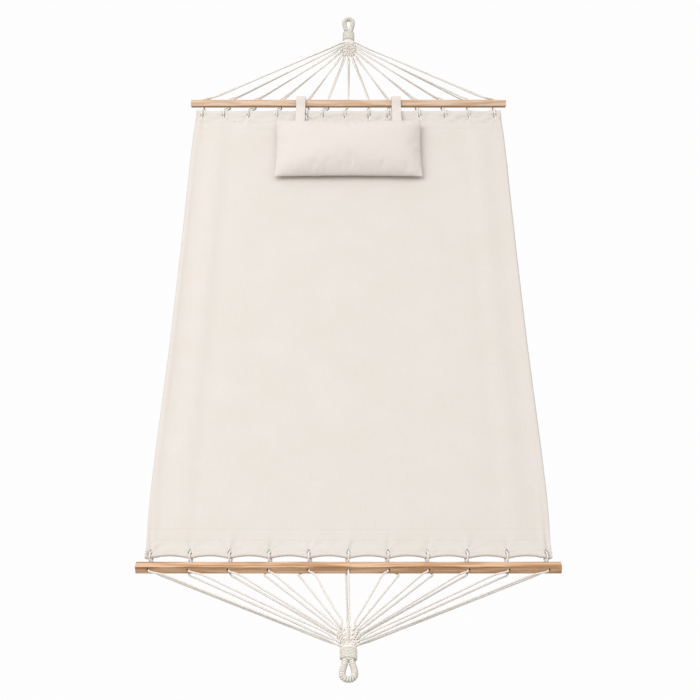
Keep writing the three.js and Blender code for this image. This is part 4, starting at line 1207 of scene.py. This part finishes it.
# %% Stitches
STITCH_LENGTH = 3.2
STITCH_WIDTH = 0.8
STITCH_HEIGHT = 0.5
STITCH_PITCH = 4.6
STITCH_FACES = [(0, 2, 4), (2, 1, 4), (1, 3, 4), (3, 0, 4), (2, 0, 5), (1, 2, 5), (3, 1, 5), (0, 3, 5)]


def stitch_row(line):
    """The six corners of each lozenge along a line on top of the cloth, in millimetres."""
    places = evened(line, STITCH_PITCH)
    ahead = unit(np.gradient(places, axis=0))
    up = unit(np.array([0, 0, 1.0]) - ahead * ahead[:, 2:3])
    side = np.cross(ahead, up)
    tips = [ahead * STITCH_LENGTH / 2, -ahead * STITCH_LENGTH / 2, side * STITCH_WIDTH / 2,
            -side * STITCH_WIDTH / 2, up * STITCH_HEIGHT, -up * STITCH_HEIGHT / 2]
    return np.stack([places + tip for tip in tips], axis=1).reshape(-1, 3)


def end_seam(distance, end):
    """The top ply's row at a distance from the hem rope, on the cloth's face."""
    i = rows[end].index((distance, "over"))
    return grid[i if end == "head" else row_total - 1 - i, 1:-1] + (0, 0, CLOTH_THICKNESS / 2)


def side_seam(side):
    """A line down one side hem, on the cloth's face."""
    first = rows["head"].index((CASING_SEAM["head"], "over"))
    span = grid[first:row_total - first]
    along = span[:, 0, 1]
    across = spread_out(np.full(len(span), side * (HALF_CLOTH - SIDE_HEM)), along)
    height = [np.interp(x, row[:, 0], row[:, 2]) for x, row in zip(across, span)]
    return xyz(across, along, np.array(height) + CLOTH_THICKNESS / 2)


seams = [end_seam(distance, end) for end in FACING for distance in (CASING_SEAM[end], HEM_SEAM)]
seams += [side_seam(side) for side in (-1, 1)]
corners = np.vstack([stitch_row(line) for line in seams])
stitch_faces = [[first + k for k in face] for first in range(0, len(corners), 6) for face in STITCH_FACES]
add_piece("bed_stitches", BED_MIDDLE + corners * MM, stitch_faces, thread, "sling", (),
          corners * MM)
print("bed has", len(corners) // 6, "stitches")

# %% [markdown]
# ## Pillow
# The pillow is two rectangles of the same canvas, sewn together at their edges and lightly stuffed, so its
# outline stays a rectangle and both faces swell. Two sheets joined at the rim start from a crowned form,
# and Blender's cloth pressure blows them up a little more: the rim is pinned and the cloth is slightly
# larger than the form, so it fills out evenly and puckers beside the seam. The bottom is then laid onto the
# bed.

# %% Pillow sizes
PILLOW_HALF = np.array([294.0, 145.0])
PILLOW_CUT = np.array([622.0, 312.0])
PILLOW_BEHIND_BAR = 271.0
PILLOW_CROWN = 58.0
PILLOW_SEAM = 30.0
PILLOW_TIP = 4.0  # the seam lies lower towards the foot
PILLOW_BELLY = 44.0
PILLOW_DRAW_IN = 4.0
REST_GAP = 0.8
PILLOW_GRID = (84, 46)
pillow_y = BAR_SPAN / 2 - PILLOW_BEHIND_BAR
pillow_base = float(bed_height(0.0, pillow_y)) + CLOTH_THICKNESS / 2
pillow_lean = math.atan((float(bed_height(0.0, pillow_y + 1)) - float(bed_height(0.0, pillow_y - 1))) / 2)


def pillow_place(points):
    """Millimetres in the pillow's own frame as metres in the row's frame."""
    turned = tilted(points, math.degrees(pillow_lean))
    return BED_MIDDLE + (turned + (0, pillow_y, pillow_base)) * MM


def bed_under(x, y):
    """The bed's height under the pillow, in the pillow's own frame."""
    row_y = pillow_y + y * math.cos(pillow_lean)
    height = bed_height(x, row_y) + CLOTH_THICKNESS / 2 + REST_GAP
    return (height - pillow_base - y * math.sin(pillow_lean)) / math.cos(pillow_lean)


print("pillow leans", round(math.degrees(pillow_lean), 2), "degrees")


# %% Pillow surface
def pillow_sheets():
    """Two sheets over one grid that share their rim. Gives each point's shares and side, and the faces."""
    counts = np.array(PILLOW_GRID)
    s, t = np.meshgrid(*(np.linspace(-1, 1, count + 1) for count in counts), indexing="ij")
    top = np.arange(s.size).reshape(s.shape)
    under = top.copy()
    under[1:-1, 1:-1] = top.size + np.arange(np.prod(counts - 1)).reshape(counts - 1)
    faces = []
    for i in range(counts[0]):
        for j in range(counts[1]):
            corners = ((i, j), (i + 1, j), (i + 1, j + 1), (i, j + 1))
            faces.append([int(top[corner]) for corner in corners])
            faces.append([int(under[corner]) for corner in (corners[0], *corners[:0:-1])])
    s, t = (np.concatenate([share.ravel(), share[1:-1, 1:-1].ravel()]) for share in (s, t))
    return s, t, np.where(np.arange(len(s)) < top.size, 1, -1), faces


def full_pillow(s, t, side):
    """A crowned form, drawn in between its corners."""
    x = s * (PILLOW_HALF[0] - PILLOW_DRAW_IN * (1 - t ** 2))
    y = t * (PILLOW_HALF[1] - PILLOW_DRAW_IN * (1 - s ** 2))
    rise = ((1 - s ** 4) * (1 - t ** 4)) ** 0.6
    return xyz(x, y, PILLOW_SEAM + np.where(side > 0, PILLOW_CROWN, -PILLOW_BELLY) * rise)


shares_across, shares_along, sides, pillow_faces = pillow_sheets()
pillow_points = full_pillow(shares_across, shares_along, sides)
half_across, half_along = PILLOW_CUT / 2
pillow_lay = xyz(shares_across * half_across, shares_along * half_along, np.minimum(sides, 0)) * MM
print("pillow points", len(pillow_points))

# %% Blow the pillow up
PILLOW_FRAMES = 36
PRESSURE = 3.5
CLOTH_GROWTH = 0.012  # how much more cloth there is than the form needs


def inflated(points, faces, rim_points):
    """The sheets after cloth pressure, in millimetres about the seam's middle."""
    blown = new_object("blown", new_mesh("blown", (points - (0, 0, PILLOW_SEAM)) * MM, faces))
    blown.vertex_groups.new(name="rim").add(rim_points, 1.0, "REPLACE")
    physics = blown.modifiers.new("cloth", "CLOTH")
    set_all(physics.settings, vertex_group_mass="rim", shrink_min=-CLOTH_GROWTH, quality=6, mass=0.25,
            tension_stiffness=25, compression_stiffness=25, shear_stiffness=10, bending_stiffness=2.0,
            use_pressure=True, uniform_pressure_force=PRESSURE)
    physics.settings.effector_weights.gravity = 0
    physics.collision_settings.use_collision = False
    set_all(physics.point_cache, frame_start=1, frame_end=PILLOW_FRAMES)
    for step in range(1, PILLOW_FRAMES + 1):
        scene.frame_set(step)
    shape = blown.evaluated_get(bpy.context.evaluated_depsgraph_get())
    result = np.array([vertex.co for vertex in shape.data.vertices])
    bpy.data.objects.remove(blown)
    scene.frame_set(1)
    return result / MM


on_rim = (np.abs(shares_across) == 1) | (np.abs(shares_along) == 1)
blown_points = inflated(pillow_points, pillow_faces, np.flatnonzero(on_rim).tolist())
low, high = blown_points.min(axis=0), blown_points.max(axis=0)
print("blown pillow", (high - low).round(1).tolist(), "mm")
swell = np.where(blown_points[:, 2] > 0, PILLOW_CROWN / high[2], -PILLOW_BELLY / low[2])
pillow_points = blown_points * xyz(1, 1, swell) + (0, 0, PILLOW_SEAM)

# %% Lay the pillow on the bed
pillow_points[:, 2] -= PILLOW_TIP * (1 - pillow_points[:, 1] / PILLOW_HALF[1])
resting = bed_under(pillow_points[:, 0], pillow_points[:, 1])
pillow_points[:, 2] = np.maximum(pillow_points[:, 2], resting)
pillow = add_piece("pillow", pillow_place(pillow_points), pillow_faces, pillow_canvas,
                   "pillow", ["pillow_cover", "pillow_filling"], pillow_lay)
modify(pillow, "SUBSURF", levels=1, render_levels=1)
freeze(pillow)
print("pillow has", len(pillow.data.polygons), "faces")

# %% [markdown]
# ## Straps
# Two bands of canvas, each folded round the head bar in a loose loop and sewn to the pillow's back seam. A
# band is a ribbon along its route, given its thickness at the end. It bulges a little across its width.

# %% Strap route
STRAP_PLACES = {"left": -196.5, "right": 196.5}
STRAP_HALF = 19.0
STRAP_THICKNESS = 1.8
STRAP_BULGE = 0.5
STRAP_LOOP_RADIUS = 28.0
STRAP_LOOP_MIDDLE = np.array([7.0, -4.3])  # forward of the bar's axis and up from it
STRAP_PINCH_RADIUS = 45.0
STRAP_PINCH_ANGLE = 162.0
STRAP_PLY = 1.2
STRAP_TUCK = 6.0  # how far it runs on inside the seam
STRAP_RING = 4.0
STRAP_ARC_STATIONS = 18


def strap_route():
    """The strap's middle line in the plane of y and z about the bar's axis: out, round the bar and back."""
    def outwards(degrees, reach):
        turn = math.radians(degrees)
        return STRAP_LOOP_MIDDLE + reach * np.array([math.cos(turn), math.sin(turn)])

    seam_y = PILLOW_HALF[1] - PILLOW_DRAW_IN / 2
    seam = np.array([
        pillow_y + seam_y * math.cos(pillow_lean) - PILLOW_SEAM * math.sin(pillow_lean) - BAR_SPAN / 2,
        pillow_base + seam_y * math.sin(pillow_lean) + PILLOW_SEAM * math.cos(pillow_lean)])
    pinch = outwards(STRAP_PINCH_ANGLE, STRAP_PINCH_RADIUS)
    ahead = unit(pinch - seam)
    ply = STRAP_PLY * np.array([-ahead[1], ahead[0]])
    seam = seam - ahead * STRAP_TUCK
    spread = math.degrees(math.acos(STRAP_LOOP_RADIUS / STRAP_PINCH_RADIUS))
    angles = STRAP_PINCH_ANGLE - spread - (360 - 2 * spread) * np.linspace(0, 1, STRAP_ARC_STATIONS)
    arc = [outwards(angle, STRAP_LOOP_RADIUS) for angle in angles]
    out = [seam, (seam + pinch) / 2, pinch]
    line = [point + ply for point in out] + arc + [point - ply for point in reversed(out)]
    return smooth_line([(0, y, z) for y, z in line], STRAP_RING)


route = strap_route()

# %% Strap pieces
strap_across = np.array([-1, -0.93, -0.8, -0.72, -0.5, -0.25, 0, 0.25, 0.5, 0.72, 0.8, 0.93, 1]) * STRAP_HALF
strap_normal = unit(np.cross((1.0, 0.0, 0.0), np.gradient(route, axis=0)))
bulge = STRAP_BULGE * np.cos(np.pi * strap_across / STRAP_HALF)
band = route[:, None] + strap_normal[:, None] * bulge[None, :, None]
flat = xyz(strap_across, np.arange(len(route))[:, None] * STRAP_RING, 0)
numbers = np.arange(band[..., 0].size).reshape(band.shape[:2])
quads = np.stack([numbers[:-1, :-1], numbers[:-1, 1:], numbers[1:, 1:], numbers[1:, :-1]], axis=-1)
for name, strap_x in STRAP_PLACES.items():
    points = band + xyz(strap_across + strap_x, 0, 0)
    strap = add_piece(f"pillow_strap_band_{name}", place("head", points.reshape(-1, 3)),
                      quads.reshape(-1, 4).tolist(), pillow_canvas, "pillow",
                      [f"pillow_strap_{name}"], flat.reshape(-1, 3) * MM)
    thicken(strap, STRAP_THICKNESS)
print("straps", len(STRAP_PLACES))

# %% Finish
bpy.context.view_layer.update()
